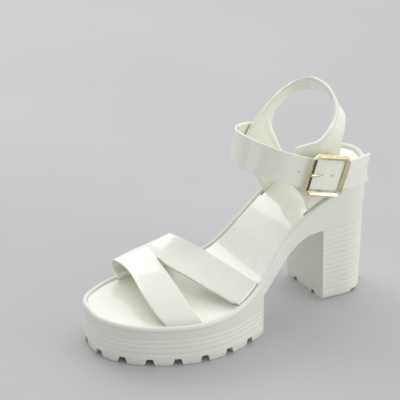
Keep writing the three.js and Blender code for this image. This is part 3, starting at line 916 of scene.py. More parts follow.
def dress(made: bpy.types.Object, materials: Sequence[bpy.types.Material]) -> None:
    """Give an object its materials, in order.

    Args:
        made: Object to dress.
        materials: Materials for the faces by number.
    """
    made.data.materials.clear()
    for material in materials:
        made.data.materials.append(material)


def report(made: bpy.types.Object, slot: str, *nodes: str) -> None:
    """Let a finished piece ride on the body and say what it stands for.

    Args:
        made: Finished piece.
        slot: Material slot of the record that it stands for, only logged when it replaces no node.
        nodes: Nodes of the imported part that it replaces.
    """
    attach(made, BODY)
    if nodes:
        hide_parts(*nodes)
    LOG.info("%s: %d faces, for %s", made.name, len(made.data.polygons), ", ".join(nodes) or slot)


# The sole


@dataclass
class Rim:
    """Outline and height of the sole unit's rim, which every other piece is set out from."""

    length: float = 230.0
    ball_width: float = 94.0
    platform_height: float = 32.0
    heel_rise: float = 76.0
    lip_width: float = 3.6
    lip_above_insole: float = 1.5
    insole_thickness: float = 3.0
    clearance: float = 0.3
    upper_wall: float = 2.0
    turn_step: float = 0.002
    fine_steps: int = 1600
    outline: Rows = (
        dict(along=0, medial=0.043, lateral=-0.043),
        dict(along=0.01, medial=0.228, lateral=0.074),
        dict(along=0.035, medial=0.334, lateral=0.186),
        dict(along=0.08, medial=0.402, lateral=0.309),
        dict(along=0.15, medial=0.464, lateral=0.427),
        dict(along=0.24, medial=0.48, lateral=0.522),
        dict(along=0.33, medial=0.451, lateral=0.55),
        dict(along=0.43, medial=0.374, lateral=0.517),
        dict(along=0.54, medial=0.3, lateral=0.419),
        dict(along=0.65, medial=0.283, lateral=0.336),
        dict(along=0.76, medial=0.299, lateral=0.339),
        dict(along=0.87, medial=0.312, lateral=0.352),
        dict(along=0.94, medial=0.28, lateral=0.3),
        dict(along=0.98, medial=0.182, lateral=0.17),
        dict(along=1, medial=0, lateral=0),
    )
    rises: Rows = (
        dict(along=0, rise=0.018),
        dict(along=0.15, rise=0.007),
        dict(along=0.3, rise=0.014),
        dict(along=0.4, rise=0.056),
        dict(along=0.5, rise=0.175),
        dict(along=0.6, rise=0.42),
        dict(along=0.7, rise=0.65),
        dict(along=0.8, rise=0.79),
        dict(along=0.88, rise=0.853),
        dict(along=0.95, rise=0.92),
        dict(along=1, rise=1),
    )

    def __post_init__(self) -> None:
        """Prepare the two tables: the outline is read by the angle of a half turn."""
        turned = [dict(row, turn=math.acos(1 - 2 * row["along"]) / math.pi) for row in self.outline]
        self._widths = Table("turn", turned)
        self._rise = Table("along", self.rises)

    def y(self, share: float) -> float:
        """Place along the shoe of a share of the rim's length."""
        return (share - 0.5) * self.length

    def height(self, y: np.ndarray | float) -> np.ndarray:
        """Height of the rim at a place along the shoe."""
        along = np.asarray(y) / self.length + 0.5
        return self.platform_height + self.heel_rise * self._rise.at("rise", along)

    def point(self, turn: np.ndarray, side: Side) -> np.ndarray:
        """Points of the rim.

        Args:
            turn: Turns from toe, 0, to heel, 1.
            side: Side of the foot.

        Returns:
            Array of points (x, y).
        """
        column = "medial" if side is Side.MEDIAL else "lateral"
        x = side.value * self._widths.at(column, turn) * self.ball_width
        return np.stack([x, self.y((1 - np.cos(np.pi * turn)) / 2)], axis=-1)

    def inset(self, turn: np.ndarray, side: Side, inset: float) -> np.ndarray:
        """Points of the rim moved inwards by a distance, square to the outline.

        Args:
            turn: Turns from toe to heel.
            side: Side of the foot.
            inset: Distance inwards.

        Returns:
            Array of points (x, y).
        """
        step = self.turn_step
        here = self.point(turn, side)
        ahead, behind = (self.point(np.clip(turn + move, 0, 1), side) for move in (step, -step))
        way = unit(ahead - behind)
        moved = here + inset * np.stack([-side.value * way[..., 1], side.value * way[..., 0]], axis=-1)
        ends = np.stack([here[..., 0], here[..., 1] + np.where(turn < 0.5, inset, -inset)], axis=-1)
        at_end = (turn < step) | (turn > 1 - step)
        return np.where(at_end[..., None], ends, moved)

    def side_at(self, y: np.ndarray | float, side: Side, inset: float) -> np.ndarray:
        """Distance of the moved-in outline from the middle line.

        Args:
            y: Places along the shoe.
            side: Side of the foot.
            inset: Distance inwards.

        Returns:
            The outline's x at each place.
        """
        line = self.inset(np.linspace(self.turn_step, 1 - self.turn_step, self.fine_steps), side, inset)
        order = np.argsort(line[:, 1])
        return np.interp(y, line[order, 1], line[order, 0])

    def slot_x(self, y: np.ndarray | float, side: Side) -> np.ndarray:
        """Middle of a strap's wall where it stands between insole and lip."""
        return self.side_at(y, side, self.lip_width + self.clearance + self.upper_wall / 2)

    def slot_floor(self, y: np.ndarray | float) -> np.ndarray:
        """Height where a strap's end stands in the hollow of the sole unit."""
        return self.height(y) - self.lip_above_insole - self.insole_thickness + self.clearance

    def ring(self, inset: float, height: Callable, steps: int,
             squeeze: Optional[Callable] = None) -> np.ndarray:
        """A closed ring of the outline, up the inner side and back down the outer side.

        Args:
            inset: Distance inwards.
            height: Gives the height of points by their place along the shoe.
            steps: Steps on each side.
            squeeze: Gives the share of the width that points keep.

        Returns:
            Array of points.
        """
        turn = np.linspace(0, 1, steps + 1)
        sides = []
        for side in (Side.MEDIAL, Side.LATERAL):
            flat = self.inset(turn, side, inset)
            z = np.broadcast_to(height(flat[:, 1]), flat[:, 1].shape)
            x = flat[:, 0] * (squeeze(flat[:, 1], z) if squeeze else 1)
            sides.append(np.stack([x, flat[:, 1], z], axis=1))
        return np.concatenate([sides[0], sides[1][::-1]])

    def dropped_ring(self, inset: float, drop: float, steps: int) -> np.ndarray:
        """A closed ring of the outline that lies a distance under the rim.

        Args:
            inset: Distance inwards.
            drop: Distance under the rim.
            steps: Steps on each side.

        Returns:
            Array of points.
        """
        return self.ring(inset, lambda y: self.height(y) - drop, steps)


@dataclass
class SoleUnit:
    """Moulded platform, waist and block heel in one piece."""

    rim: Rim
    platform_rear: float = 118.4
    breast_foot: float = 183.8
    breast_head: float = 179.0
    breast_height: float = 64.0
    arch_foot: float = 33.0
    seat_band_drop: float = 24.0
    wall_inset: float = 0.8
    heel_taper: float = 0.22
    taper_from: float = 0.5
    taper_full: float = 0.8
    taper_back: float = 0.96
    back_relief: float = 0.45
    rib_depth: float = 0.2
    rib_half_width: float = 0.7
    platform_ribs: tuple[float, ...] = (9.8, 14.0, 18.0, 21.6)
    heel_rib_pitch: float = 4.4
    heel_rib_foot: float = 8.0
    heel_set_back: float = 0.9
    heel_joint: float = 4.0
    band_overrun: float = 5.0
    lug_pitch: float = 20.6
    first_lug: float = 5.3
    last_lug: float = 130.0
    lug_foot: float = 8.6
    lug_head: float = 4.6
    lug_height: float = 5.6
    lug_depth: float = 12.0
    groove_width: float = 4.0
    groove_depth: float = 3.0
    groove_across: float = 11.5
    groove_along: float = 210.7
    lug_reach: float = 4.0
    lug_step: float = 0.5
    outline_steps: int = 900
    waist_steps: int = 60
    heel_steps: int = 60
    steps: int = 150
    wall_foot: Rows = (
        dict(height=0.0, inset=1.0),
        dict(height=0.3, inset=0.5),
        dict(height=0.8, inset=0.2),
    )
    rib: Rows = (
        dict(rise=-1.0, depth=0.0),
        dict(rise=-0.6, depth=0.35),
        dict(rise=-0.3, depth=0.85),
        dict(rise=0.0, depth=1.0),
        dict(rise=0.3, depth=0.85),
        dict(rise=0.6, depth=0.35),
        dict(rise=1.0, depth=0.0),
    )
    heel_foot: Rows = (
        dict(height=0.0, inset=1.6),
        dict(height=0.4, inset=1.0),
        dict(height=1.0, inset=0.5),
        dict(height=2.4, inset=0.0),
    )
    heel_rib: Rows = (
        dict(rise=-0.3, depth=0.0),
        dict(rise=0.15, depth=0.35),
        dict(rise=0.4, depth=0.85),
        dict(rise=0.6, depth=1.0),
        dict(rise=0.8, depth=0.85),
        dict(rise=1.05, depth=0.35),
        dict(rise=1.5, depth=0.0),
    )
    lip: Rows = (
        dict(drop=4.6, inset=0.7),
        dict(drop=4.1, inset=0.62),
        dict(drop=3.5, inset=0.2),
        dict(drop=2.8, inset=-0.08),
        dict(drop=2.1, inset=-0.14),
        dict(drop=1.4, inset=0.02),
        dict(drop=0.8, inset=0.34),
        dict(drop=0.35, inset=0.78),
        dict(drop=0.08, inset=1.3),
        dict(drop=0, inset=1.8),
        dict(drop=0.08, inset=2.35),
        dict(drop=0.3, inset=2.9),
        dict(drop=0.7, inset=3.35),
        dict(drop=1.3, inset=3.6),
        dict(drop=4.8, inset=3.6),
    )
    arch: Rows = (
        dict(along=0, rise=0),
        dict(along=0.22, rise=0.29),
        dict(along=0.36, rise=0.47),
        dict(along=0.5, rise=0.69),
        dict(along=0.62, rise=0.86),
        dict(along=0.74, rise=0.97),
        dict(along=0.86, rise=1),
        dict(along=1, rise=1),
    )
    crease: float = 32.0
    finish: MouldedFinish = MouldedFinish("moulded_sole")

    def wall_width(self, y: np.ndarray, z: np.ndarray | float) -> np.ndarray:
        """Share of its width that the side wall keeps at a height.

        Args:
            y: Places along the shoe.
            z: Heights.

        Returns:
            Shares, least at the foot of the heel's breast.
        """
        rim = self.rim
        start, full, back = rim.y(self.taper_from), rim.y(self.taper_full), rim.y(self.taper_back)
        heel = smooth(y, start, full) * (1 - self.back_relief * smooth(y, full, back))
        return 1 - self.heel_taper * heel * (1 - z / rim.height(y))

    def upper_body(self) -> bpy.types.Object:
        """Wall, bead lip and hollow over the whole length, down to the floor.

        Returns:
            The closed body.
        """
        base = self.wall_inset
        levels = [(row["height"], base + row["inset"]) for row in self.wall_foot]
        for z in self.platform_ribs:
            for row in self.rib:
                levels.append((z + row["rise"] * self.rib_half_width, base + row["depth"] * self.rib_depth))
        rings = [self.rim.ring(inset, lambda y, z=z: z, self.steps, self.wall_width) for z, inset in levels]
        for row in self.lip:
            rings.append(self.rim.dropped_ring(row["inset"], row["drop"], self.steps))
        return ring_stack(rings).object("sole_unit")

    def band_foot(self, y: np.ndarray | float) -> np.ndarray:
        """Underside of the seat band, rising from the breast to behind the heel.

        Args:
            y: Places along the shoe.

        Returns:
            Heights.
        """
        rim = self.rim
        ends = self.breast_head - rim.length / 2, rim.y(1) + self.band_overrun
        return np.interp(y, ends, (self.breast_height, float(rim.height(rim.y(1))) - self.seat_band_drop))

    def under_waist(self) -> bpy.types.Object:
        """What is cut away under the waist and around the heel block.

        Returns:
            The body to take away.
        """
        rim = self.rim
        rear, breast = self.platform_rear - rim.length / 2, self.breast_head - rim.length / 2
        share = np.linspace(0, 1, self.waist_steps + 1)
        rise = Table("along", self.arch).at("rise", share)
        height = self.arch_foot + (self.breast_height - self.arch_foot) * rise
        top = np.stack([rear + (breast - rear) * share, height], 1)
        behind = rim.y(1) + self.band_overrun
        corners = [[rear, -1], *top.tolist(), [behind, float(self.band_foot(behind))], [behind, -1]]
        half = rim.ball_width
        return prism(np.array(corners), -half, half, lambda p: p[:, [2, 0, 1]]).object("under_waist")

    def heel_block(self) -> bpy.types.Object:
        """Block under the seat with ribbed sides and a flat breast.

        Returns:
            The closed body.
        """
        rim = self.rim
        steps = self.heel_steps

        def ring(level: float, inset: float, is_top: bool = False) -> np.ndarray:
            """Ring of the block.

            Args:
                level: Height of the ring.
                inset: Distance inwards.
                is_top: Whether the ring follows the underside of the seat band instead.

            Returns:
                Array of points.
            """
            lean = level / self.breast_height
            front = self.breast_foot + (self.breast_head - self.breast_foot) * lean - rim.length / 2
            back = rim.y(1) - inset
            share = np.sin(np.linspace(0, math.pi / 2, steps + 1))
            y = front + (back - front) * share
            rim_y = front + (rim.y(1) - front) * share
            z = self.band_foot(y) + self.heel_joint if is_top else np.full_like(y, level)
            sides = []
            for side in (Side.MEDIAL, Side.LATERAL):
                x = rim.side_at(rim_y, side, 0) * self.wall_width(rim_y, z) - side.value * inset
                x = np.where(np.arange(steps + 1) == steps, 0, x)
                sides.append(np.stack([x, y, z], axis=1))
            return np.concatenate([sides[0], sides[1][::-1]])

        base = self.heel_set_back
        levels = [(row["height"], base + row["inset"]) for row in self.heel_foot]
        z = self.heel_rib_foot
        while z < self.breast_height:
            levels += [(z + row["rise"], base + row["depth"] * self.rib_depth) for row in self.heel_rib]
            z += self.heel_rib_pitch
        rings = [ring(z, inset) for z, inset in levels] + [ring(self.breast_height, base, True)]
        return ring_stack(rings).object("heel_block")

    def lug_cuts(self) -> list[bpy.types.Object]:
        """Notches between the lugs, at equal steps of length along the outline from the toe.

        Returns:
            Bodies to take away.
        """
        cuts = []
        foot, head, high = self.lug_foot / 2, self.lug_head / 2, self.lug_height
        shape = np.array([[-foot, -1], [foot, -1], [head, high], [-head, high]])
        for side in (Side.MEDIAL, Side.LATERAL):
            line = self.rim.point(np.linspace(0, 1, self.outline_steps + 1), side)
            travelled = travel(line)
            start = self.lug_pitch - self.first_lug if side is Side.MEDIAL else self.first_lug
            for place in np.arange(start, self.last_lug, self.lug_pitch):
                here, ahead = pick(line, travelled, place), pick(line, travelled, place + self.lug_step)
                way = unit(ahead - here)
                inwards = np.array([-side.value * way[1], side.value * way[0], 0])
                up = np.array([0, 0, 1])
                axes = np.stack([np.cross(up, inwards), up, inwards])
                corner = np.append(here, 0)
                cut = prism(shape, -self.lug_reach, self.lug_depth, lambda p, m=corner, a=axes: m + p @ a)
                cuts.append(cut.object("lug_cut"))
        return cuts

    def heel_grooves(self) -> list[bpy.types.Object]:
        """Grooves in the heel's tread: two along it and one across.

        Returns:
            Bodies to take away.
        """
        half, deep, reach = self.groove_width / 2, self.groove_depth, self.rim.ball_width
        shape = np.array([[-half, -deep], [half, -deep], [half, deep], [-half, deep]])
        across, along = [2, 0, 1], [0, 2, 1]
        grooves = [(along, (x, self.rim.y(1), 0)) for x in (-self.groove_across, self.groove_across)]
        grooves.append((across, (0, self.groove_along - self.rim.length / 2, 0)))
        return [
            prism(shape, -reach, reach, lambda p, o=order, m=move: p[:, o] + m).object("groove")
            for order, move in grooves
        ]

    def build(self) -> None:
        """Build and dress the sole unit."""
        made = self.upper_body()
        combine(made, [self.under_waist()], Cut.TAKE)
        combine(made, [self.heel_block()], Cut.ADD)
        combine(made, [*self.lug_cuts(), *self.heel_grooves()], Cut.TAKE)
        shade(made, self.crease)
        dress(made, [self.finish.material()])
        report(made, "sole", "sole_unit")


# The upper


@dataclass
class Insole:
    """Patent-covered foot bed let into the sole unit, slotted for the straps."""

    rim: Rim
    slots: Sequence[tuple[Side, float, float]]
    steps: int = 130
    columns: int = 26
    gap: float = 0.06
    crease: float = 40.0
    slot_reach: float = 9.0
    slot_steps: int = 24
    edge: Rows = (
        dict(drop=4.5, inset=0.0),
        dict(drop=1.9, inset=0.0),
        dict(drop=1.7, inset=0.04),
        dict(drop=1.58, inset=0.12),
        dict(drop=1.52, inset=0.24),
        dict(drop=1.5, inset=0.42),
    )
    finish: PatentFinish = PatentFinish("patent_foot_bed", wave=19.0, wave_depth=0.2)

    def body(self) -> bpy.types.Object:
        """The foot bed with a rolled edge and a top of even faces.

        Returns:
            The closed body.
        """
        rim = self.rim
        base = rim.lip_width + self.gap
        rings = [rim.dropped_ring(base + row["inset"], row["drop"], self.steps) for row in self.edge]
        count = len(rings[0])
        half = count // 2
        draft = Draft()
        draft.add(np.concatenate(rings), bands(len(rings), count))
        for ring in (rings[0], rings[-1]):
            medial, lateral = ring[:half], ring[half:][::-1]
            share = np.linspace(0, 1, self.columns + 1)[None, :, None]
            grid = medial[:, None] * (1 - share) + lateral[:, None] * share
            wide = self.columns + 1
            cells = [
                (i * wide + j, (i + 1) * wide + j, (i + 1) * wide + j + 1, i * wide + j + 1)
                for i in range(half - 1)
                for j in range(self.columns)
            ]
            draft.add(grid.reshape(-1, 3), cells)
        return draft.object("insole")

    def slot_cut(self, side: Side, start: float, end: float) -> bpy.types.Object:
        """A slot at the foot bed's edge for a strap.

        Args:
            side: Side of the foot.
            start: Front end along the shoe.
            end: Rear end along the shoe.

        Returns:
            The body that is cut away.
        """
        rim = self.rim
        half = rim.upper_wall / 2 + rim.clearance
        y = np.linspace(start - rim.clearance, end + rim.clearance, self.slot_steps)
        x = rim.slot_x(y, side)
        draft = Draft()
        points = []
        for low, high in ((-1, -1), (1, -1), (1, 1), (-1, 1)):
            points.append(np.stack([x + low * half, y, rim.height(y) + high * self.slot_reach], axis=1))
        count = len(y)
        faces = [
            (k * count + i, k * count + i + 1, (k + 1) % 4 * count + i + 1, (k + 1) % 4 * count + i)
            for k in range(4)
            for i in range(count - 1)
        ]
        faces += [tuple(k * count for k in range(4)), tuple(k * count + count - 1 for k in range(4))]
        draft.add(np.concatenate(points), faces)
        return draft.object("slot_cut")

    def build(self) -> None:
        """Build and dress the foot bed."""
        made = self.body()
        combine(made, [self.slot_cut(*slot) for slot in self.slots], Cut.TAKE)
        shade(made, self.crease)
        dress(made, [self.finish.material()])
        report(made, "insole", "insole")


@dataclass
class Vamp:
    """One wide piece on the inner side that parts into two straps on the outer side."""

    rim: Rim
    rise: float = 25.0
    steps: int = 80
    columns: int = 9
    seat_steps: int = 12
    last_whole: float = 0.46
    strap_width: float = 26.0
    edge_radius: float = 0.45
    bend_share: float = 0.02
    bend_reach: float = 3.0
    bend_steps: int = 10
    bend_radius: float = 1.3
    bend_fade: float = 2.2
    rows: Rows = (
        dict(across=-1, front=0.185, split=0.296, parted=0.298, back=0.372,
             front_rise=0.12, split_rise=0.12, parted_rise=0.12, back_rise=0.13),
        dict(across=-1.085, front=0.176, split=0.295, parted=0.297, back=0.375,
             front_rise=0.29, split_rise=0.36, parted_rise=0.36, back_rise=0.44),
        dict(across=-1.14, front=0.173, split=0.293, parted=0.295, back=0.376,
             front_rise=0.5, split_rise=0.64, parted_rise=0.64, back_rise=0.76),
        dict(across=-1.05, front=0.18, split=0.29, parted=0.292, back=0.377,
             front_rise=0.6, split_rise=0.79, parted_rise=0.79, back_rise=0.98),
        dict(across=-0.8, front=0.187, split=0.285, parted=0.287, back=0.393,
             front_rise=0.59, split_rise=0.82, parted_rise=0.82, back_rise=0.94),
        dict(across=-0.4, front=0.178, split=0.278, parted=0.293, back=0.428,
             front_rise=0.57, split_rise=0.74, parted_rise=0.7, back_rise=0.68),
        dict(across=0.05, front=0.161, split=0.269, parted=0.328, back=0.449,
             front_rise=0.52, split_rise=0.61, parted_rise=0.5, back_rise=0.5),
        dict(across=0.45, front=0.152, split=0.261, parted=0.355, back=0.465,
             front_rise=0.4, split_rise=0.45, parted_rise=0.34, back_rise=0.36),
        dict(across=0.75, front=0.15, split=0.259, parted=0.374, back=0.474,
             front_rise=0.26, split_rise=0.27, parted_rise=0.23, back_rise=0.27),
        dict(across=0.93, front=0.154, split=0.261, parted=0.387, back=0.485,
             front_rise=0.145, split_rise=0.145, parted_rise=0.14, back_rise=0.155),
        dict(across=1, front=0.16, split=0.267, parted=0.404, back=0.498,
             front_rise=0.055, split_rise=0.055, parted_rise=0.06, back_rise=0.065),
    )
    # Painted shade: the vamp's patent is the same leather as the other pieces, painted darker to stand in
    # for the shade on its straps.
    finish: PatentFinish = PatentFinish("patent_vamp_painted_shade", light=(0.82, 0.835, 0.73), shade=(0.81, 0.826, 0.72))
    edge: EdgeFinish = EdgeFinish("edge_vamp")

    def slots(self) -> list[tuple[Side, float, float]]:
        """Slots that the vamp needs in the foot bed.

        Returns:
            Side, front end and rear end of each slot.
        """
        first, last, y = self.rows[0], self.rows[-1], self.rim.y
        return [
            (Side.MEDIAL, y(first["front"]), y(first["back"])),
            (Side.LATERAL, y(last["front"]), y(last["split"])),
            (Side.LATERAL, y(last["parted"]), y(last["back"])),
        ]

    def grid(self) -> tuple[np.ndarray, int]:
        """Middle points of the wall from the inner to the outer slot.

        Returns:
            Grid of points, and the number of rows before the straps part.
        """
        rim = self.rim
        table = Table("step", [dict(row, step=k / (len(self.rows) - 1)) for k, row in enumerate(self.rows)])
        seat = np.linspace(0, 1, self.seat_steps + 1)
        near = self.bend_reach * self.bend_share
        step = edge_steps(self.bend_share, self.steps, near, self.bend_steps)
        step = np.concatenate([np.zeros(self.seat_steps), step, np.ones(self.seat_steps)])
        drop = np.concatenate([1 - seat[:-1], np.zeros(len(step) - 2 * self.seat_steps), seat[1:]])
        share = edge_steps(self.edge_radius / self.strap_width, self.columns)
        whole = (step <= self.last_whole)[:, None]
        lines = []
        for start, end in (("front", "split"), ("parted", "back")):
            low, high, low_rise, high_rise = (
                table.at(name, step)[:, None] for name in (start, end, start + "_rise", end + "_rise")
            )
            if end == "split":
                joined = (high + table.at("parted", step)[:, None]) / 2
                joined_rise = (high_rise + table.at("parted_rise", step)[:, None]) / 2
                high, high_rise = np.where(whole, joined, high), np.where(whole, joined_rise, high_rise)
            else:
                low, low_rise = np.where(whole, joined, low), np.where(whole, joined_rise, low_rise)
            y = rim.y(low + (high - low) * share)
            rise = low_rise + (high_rise - low_rise) * share
            medial, lateral = rim.slot_x(y, Side.MEDIAL), rim.slot_x(y, Side.LATERAL)
            x = (medial + lateral) / 2 + table.at("across", step)[:, None] * (lateral - medial) / 2
            z = rim.height(y) - rim.lip_above_insole + self.rise * rise
            z += (rim.slot_floor(y) - z) * drop[:, None]
            lines.append(np.stack([x, y, z], axis=2))
        grid = np.concatenate(lines, axis=1)
        return self._soften(grid), int(np.count_nonzero(whole))

    def _soften(self, grid: np.ndarray) -> np.ndarray:
        """Round the bends where the straps turn down into their slots.

        Args:
            grid: Middle points with sharp bends.

        Returns:
            Middle points with round bends.
        """
        travelled = down_lengths(grid)
        made = grid.copy()
        for column in range(grid.shape[1]):
            place = travelled[:, column]
            for bend in (place[self.seat_steps], place[-1 - self.seat_steps]):
                weights = np.exp(-((place[:, None] - place[None, :]) ** 2) / (2 * self.bend_radius**2))
                weights *= np.gradient(place)[None, :]
                mean = weights @ grid[:, column] / weights.sum(axis=1, keepdims=True)
                near = np.exp(-(((place - bend) / (self.bend_fade * self.bend_radius)) ** 4))[:, None]
                made[:, column] += (mean - grid[:, column]) * near
        made[0], made[-1] = grid[0], grid[-1]
        return made

    def build(self) -> None:
        """Build and dress the vamp."""
        grid, whole = self.grid()
        split = grid.shape[1] // 2 - 1
        made = StrapWall(
            "vamp", grid, self.rim.upper_wall, self.edge_radius,
            free_ends=False, split=split, whole_rows=whole,
        ).object()
        dress(made, [self.finish.material(), self.edge.material()])
        report(made, "vamp", "vamp")


@dataclass
class Stitches:
    """Thread stitches laid along lines on a surface, each thick in its middle and sunk at its ends."""

    pitch: float = 2.7
    length: float = 2.1
    thickness: float = 0.55
    rise: float = 0.12
    sides: int = 8
    weld: float = 1e-6
    crease: float = 60.0
    profile: Rows = (
        dict(along=-1, swell=0.35, rise=-0.3),
        dict(along=-0.8, swell=0.8, rise=0.2),
        dict(along=-0.35, swell=1, rise=1),
        dict(along=0.35, swell=1, rise=1),
        dict(along=0.8, swell=0.8, rise=0.2),
        dict(along=1, swell=0.35, rise=-0.3),
    )
    draft: Draft = field(default_factory=Draft)

    def sew(self, line: np.ndarray, out: np.ndarray) -> None:
        """Add the stitches of one line.

        Args:
            line: Points on the surface.
            out: Direction out of the surface at each point.
        """
        travelled = travel(line)
        count = max(int(travelled[-1] / self.pitch), 1)
        start = (travelled[-1] - count * self.pitch) / 2
        for k in range(count):
            ends = start + (k + 0.5) * self.pitch + np.array([-0.5, 0, 0.5]) * self.length
            self._stitch(pick(line, travelled, ends), unit(pick(out, travelled, ends[1])))

    def _stitch(self, places: np.ndarray, out: np.ndarray) -> None:
        """Add one stitch.

        Args:
            places: Its start, middle and end.
            out: Direction out of the surface.
        """
        along = unit(places[2] - places[0])
        across = np.stack([np.cross(out, along), out])
        section = circle(1, self.sides) @ across
        rings = []
        for row in self.profile:
            centre = places[1] + along * row["along"] * self.length / 2 + out * row["rise"] * self.rise
            rings.append(centre + row["swell"] * self.thickness / 2 * section)
        count, last = self.sides, len(rings) - 1
        faces = [
            (k * count + i, k * count + j, (k + 1) * count + j, (k + 1) * count + i)
            for k in range(last)
            for i, j in ((i, (i + 1) % count) for i in range(count))
        ]
        faces += [tuple(range(count))[::-1], tuple(range(last * count, (last + 1) * count))]
        self.draft.add(np.concatenate(rings), faces)

    def object(self, name: str) -> bpy.types.Object:
        """Make one object of all the stitches."""
        return self.draft.object(name, self.weld, self.crease)


def edge_line(grid: np.ndarray, rows: slice, distance: float, lift: float) -> tuple[np.ndarray, np.ndarray]:
    """A line on a strap's skin at a distance from the edge of its first column.

    Args:
        grid: Middle points of the strap.
        rows: Rows that the line runs through.
        distance: Distance from the edge, measured across the strap, from the far edge if negative.
        lift: Distance from the middle to the skin, negative for the inner skin.

    Returns:
        Points on the skin and the directions out of it.
    """
    normals = grid_normals(grid) * math.copysign(1, lift)
    along = lengths(grid)
    points, out = [], []
    for row in range(*rows.indices(len(grid))):
        place = distance if distance >= 0 else along[row, -1] + distance
        points.append(pick(grid[row], along[row], place))
        out.append(pick(normals[row], along[row], place))
    out = unit(np.array(out))
    return np.array(points) + out * abs(lift), out


@dataclass
class Quarter:
    """Inner and outer side pieces that run up into one sling over the heel.

    A row holds the wall's low point, its high point, its bow along the shoe and its tuck across it.
    A point is x in half widths of the ankle, y in lengths of the rim and z in rises of the sling. A
    low point without an x stands in the foot bed's slot.
    """

    rim: Rim
    ankle_half_width: float = 33.0
    sling_rise: float = 72.0
    upright: float = 0.14
    slot_lead: float = 3.6
    steps: int = 190
    columns: int = 22
    edge_radius: float = 0.45
    seam_inset: float = 2.2
    seam_ends: int = 8
    front_seam_share: float = 0.8
    seat_at: float = 0.88
    rough_length: float = 330.0
    rough_height: float = 25.0
    fully_seated: float = 0.999
    swell_bias: float = 1.5
    rows: Sequence[tuple] = (
        ((None, 0.7, 0), (-0.98, 0.635, 0.22), 0, 0),
        ((None, 0.73, 0), (-0.99, 0.646, 0.35), 0, 0),
        ((None, 0.761, 0), (-0.99, 0.674, 0.48), 0, 0),
        ((None, 0.787, 0), (-0.99, 0.7, 0.57), 0, 0),
        ((None, 0.788, 0.09), (-0.99, 0.715, 0.62), 0, 0),
        ((-0.95, 0.757, 0.17), (-0.98, 0.735, 0.675), 0, 0),
        ((-0.98, 0.744, 0.34), (-0.95, 0.76, 0.755), 0, 0),
        ((-0.97, 0.754, 0.55), (-0.89, 0.792, 0.84), 0, 0),
        ((-0.88, 0.796, 0.71), (-0.71, 0.832, 0.935), 0, 0),
        ((-0.58, 0.838, 0.83), (-0.39, 0.857, 0.99), 0, 0),
        ((-0.09, 0.857, 0.895), (0, 0.863, 0.98), 0, 0),
        ((0.33, 0.866, 0.845), (0.3, 0.857, 0.94), 0, 0),
        ((0.62, 0.868, 0.77), (0.6, 0.839, 0.875), 0, 0),
        ((0.8, 0.856, 0.67), (0.8, 0.81, 0.765), 0, 0),
        ((0.89, 0.835, 0.5), (0.88, 0.782, 0.685), 0, 0),
        ((0.9, 0.828, 0.2), (0.9, 0.762, 0.635), 0, 0),
        ((None, 0.841, 0.11), (0.9, 0.75, 0.615), 0, 0),
        ((None, 0.838, 0), (0.89, 0.739, 0.602), 0, 0),
        ((None, 0.8, 0), (0.86, 0.716, 0.592), -0.01, -0.02),
        ((None, 0.755, 0), (0.8, 0.692, 0.577), -0.028, -0.06),
        ((None, 0.722, 0), (0.75, 0.675, 0.56), -0.046, -0.11),
    )
    finish: PatentFinish = PatentFinish("patent_quarter", wave=16.0)
    edge: EdgeFinish = EdgeFinish("edge_quarter")
    thread: ThreadFinish = ThreadFinish("thread_quarter")

    def slots(self) -> list[tuple[Side, float, float]]:
        """Slots that the quarter needs in the foot bed.

        Returns:
            Side, front end and rear end of each slot.
        """
        made = []
        for side in (Side.MEDIAL, Side.LATERAL):
            seated = [low for low, high, *_ in self.rows if low[0] is None and high[0] * side.value > 0]
            ys = [self.rim.y(low[1]) for low in seated]
            made.append((side, min(ys) - self.slot_lead, max(ys)))
        return made

    def _table(self) -> Table:
        """The rows in millimetres, numbered evenly from the inner to the outer front.

        Returns:
            Table of the low and high points, bow and tuck by step.
        """
        rim, width = self.rim, self.ankle_half_width
        seat = float(rim.height(rim.y(self.seat_at)))
        numbered = []
        for k, (low, high, bow, tuck) in enumerate(self.rows):
            seated = low[0] is None
            side = Side.LATERAL if high[0] > 0 else Side.MEDIAL
            low_y, above = rim.y(low[1]), low[2] * self.sling_rise
            numbered.append(dict(
                step=k / (len(self.rows) - 1),
                seated=float(seated),
                above=above if seated else 0,
                low_x=float(rim.slot_x(low_y, side)) if seated else low[0] * width,
                low_y=low_y,
                low_z=(float(rim.slot_floor(low_y)) if seated else seat) + above,
                high_x=high[0] * width,
                high_y=rim.y(high[1]),
                high_z=seat + high[2] * self.sling_rise,
                bow=bow * rim.length,
                tuck=tuck * width,
            ))
        return Table("step", numbered)

    def grid(self) -> np.ndarray:
        """Middle points of the wall, from the inner front round the back to the outer front.

        Returns:
            Grid of points.
        """
        rim, table = self.rim, self._table()
        t = edge_steps(self.edge_radius / self.rough_height, self.columns)
        swell = np.sin(np.pi * t**self.swell_bias) ** 2
        lines = []
        for step in edge_steps(self.edge_radius / self.rough_length, self.steps):
            value = {name: float(table.at(name, step)) for name in table.columns}
            if value["seated"] > self.fully_seated:
                side = Side.LATERAL if value["high_x"] > 0 else Side.MEDIAL
                value["low_x"] = float(rim.slot_x(value["low_y"], side))
                value["low_z"] = float(rim.slot_floor(value["low_y"])) + value["above"]
            ease = t + (smooth(t, self.upright, 1) - t) * value["seated"]
            x = value["low_x"] + (value["high_x"] - value["low_x"]) * ease + value["tuck"] * swell
            y = value["low_y"] + (value["high_y"] - value["low_y"]) * t + value["bow"] * swell
            z = value["low_z"] + (value["high_z"] - value["low_z"]) * t
            lines.append(np.stack([x, y, z], axis=1)[::-1])
        return np.array(lines)

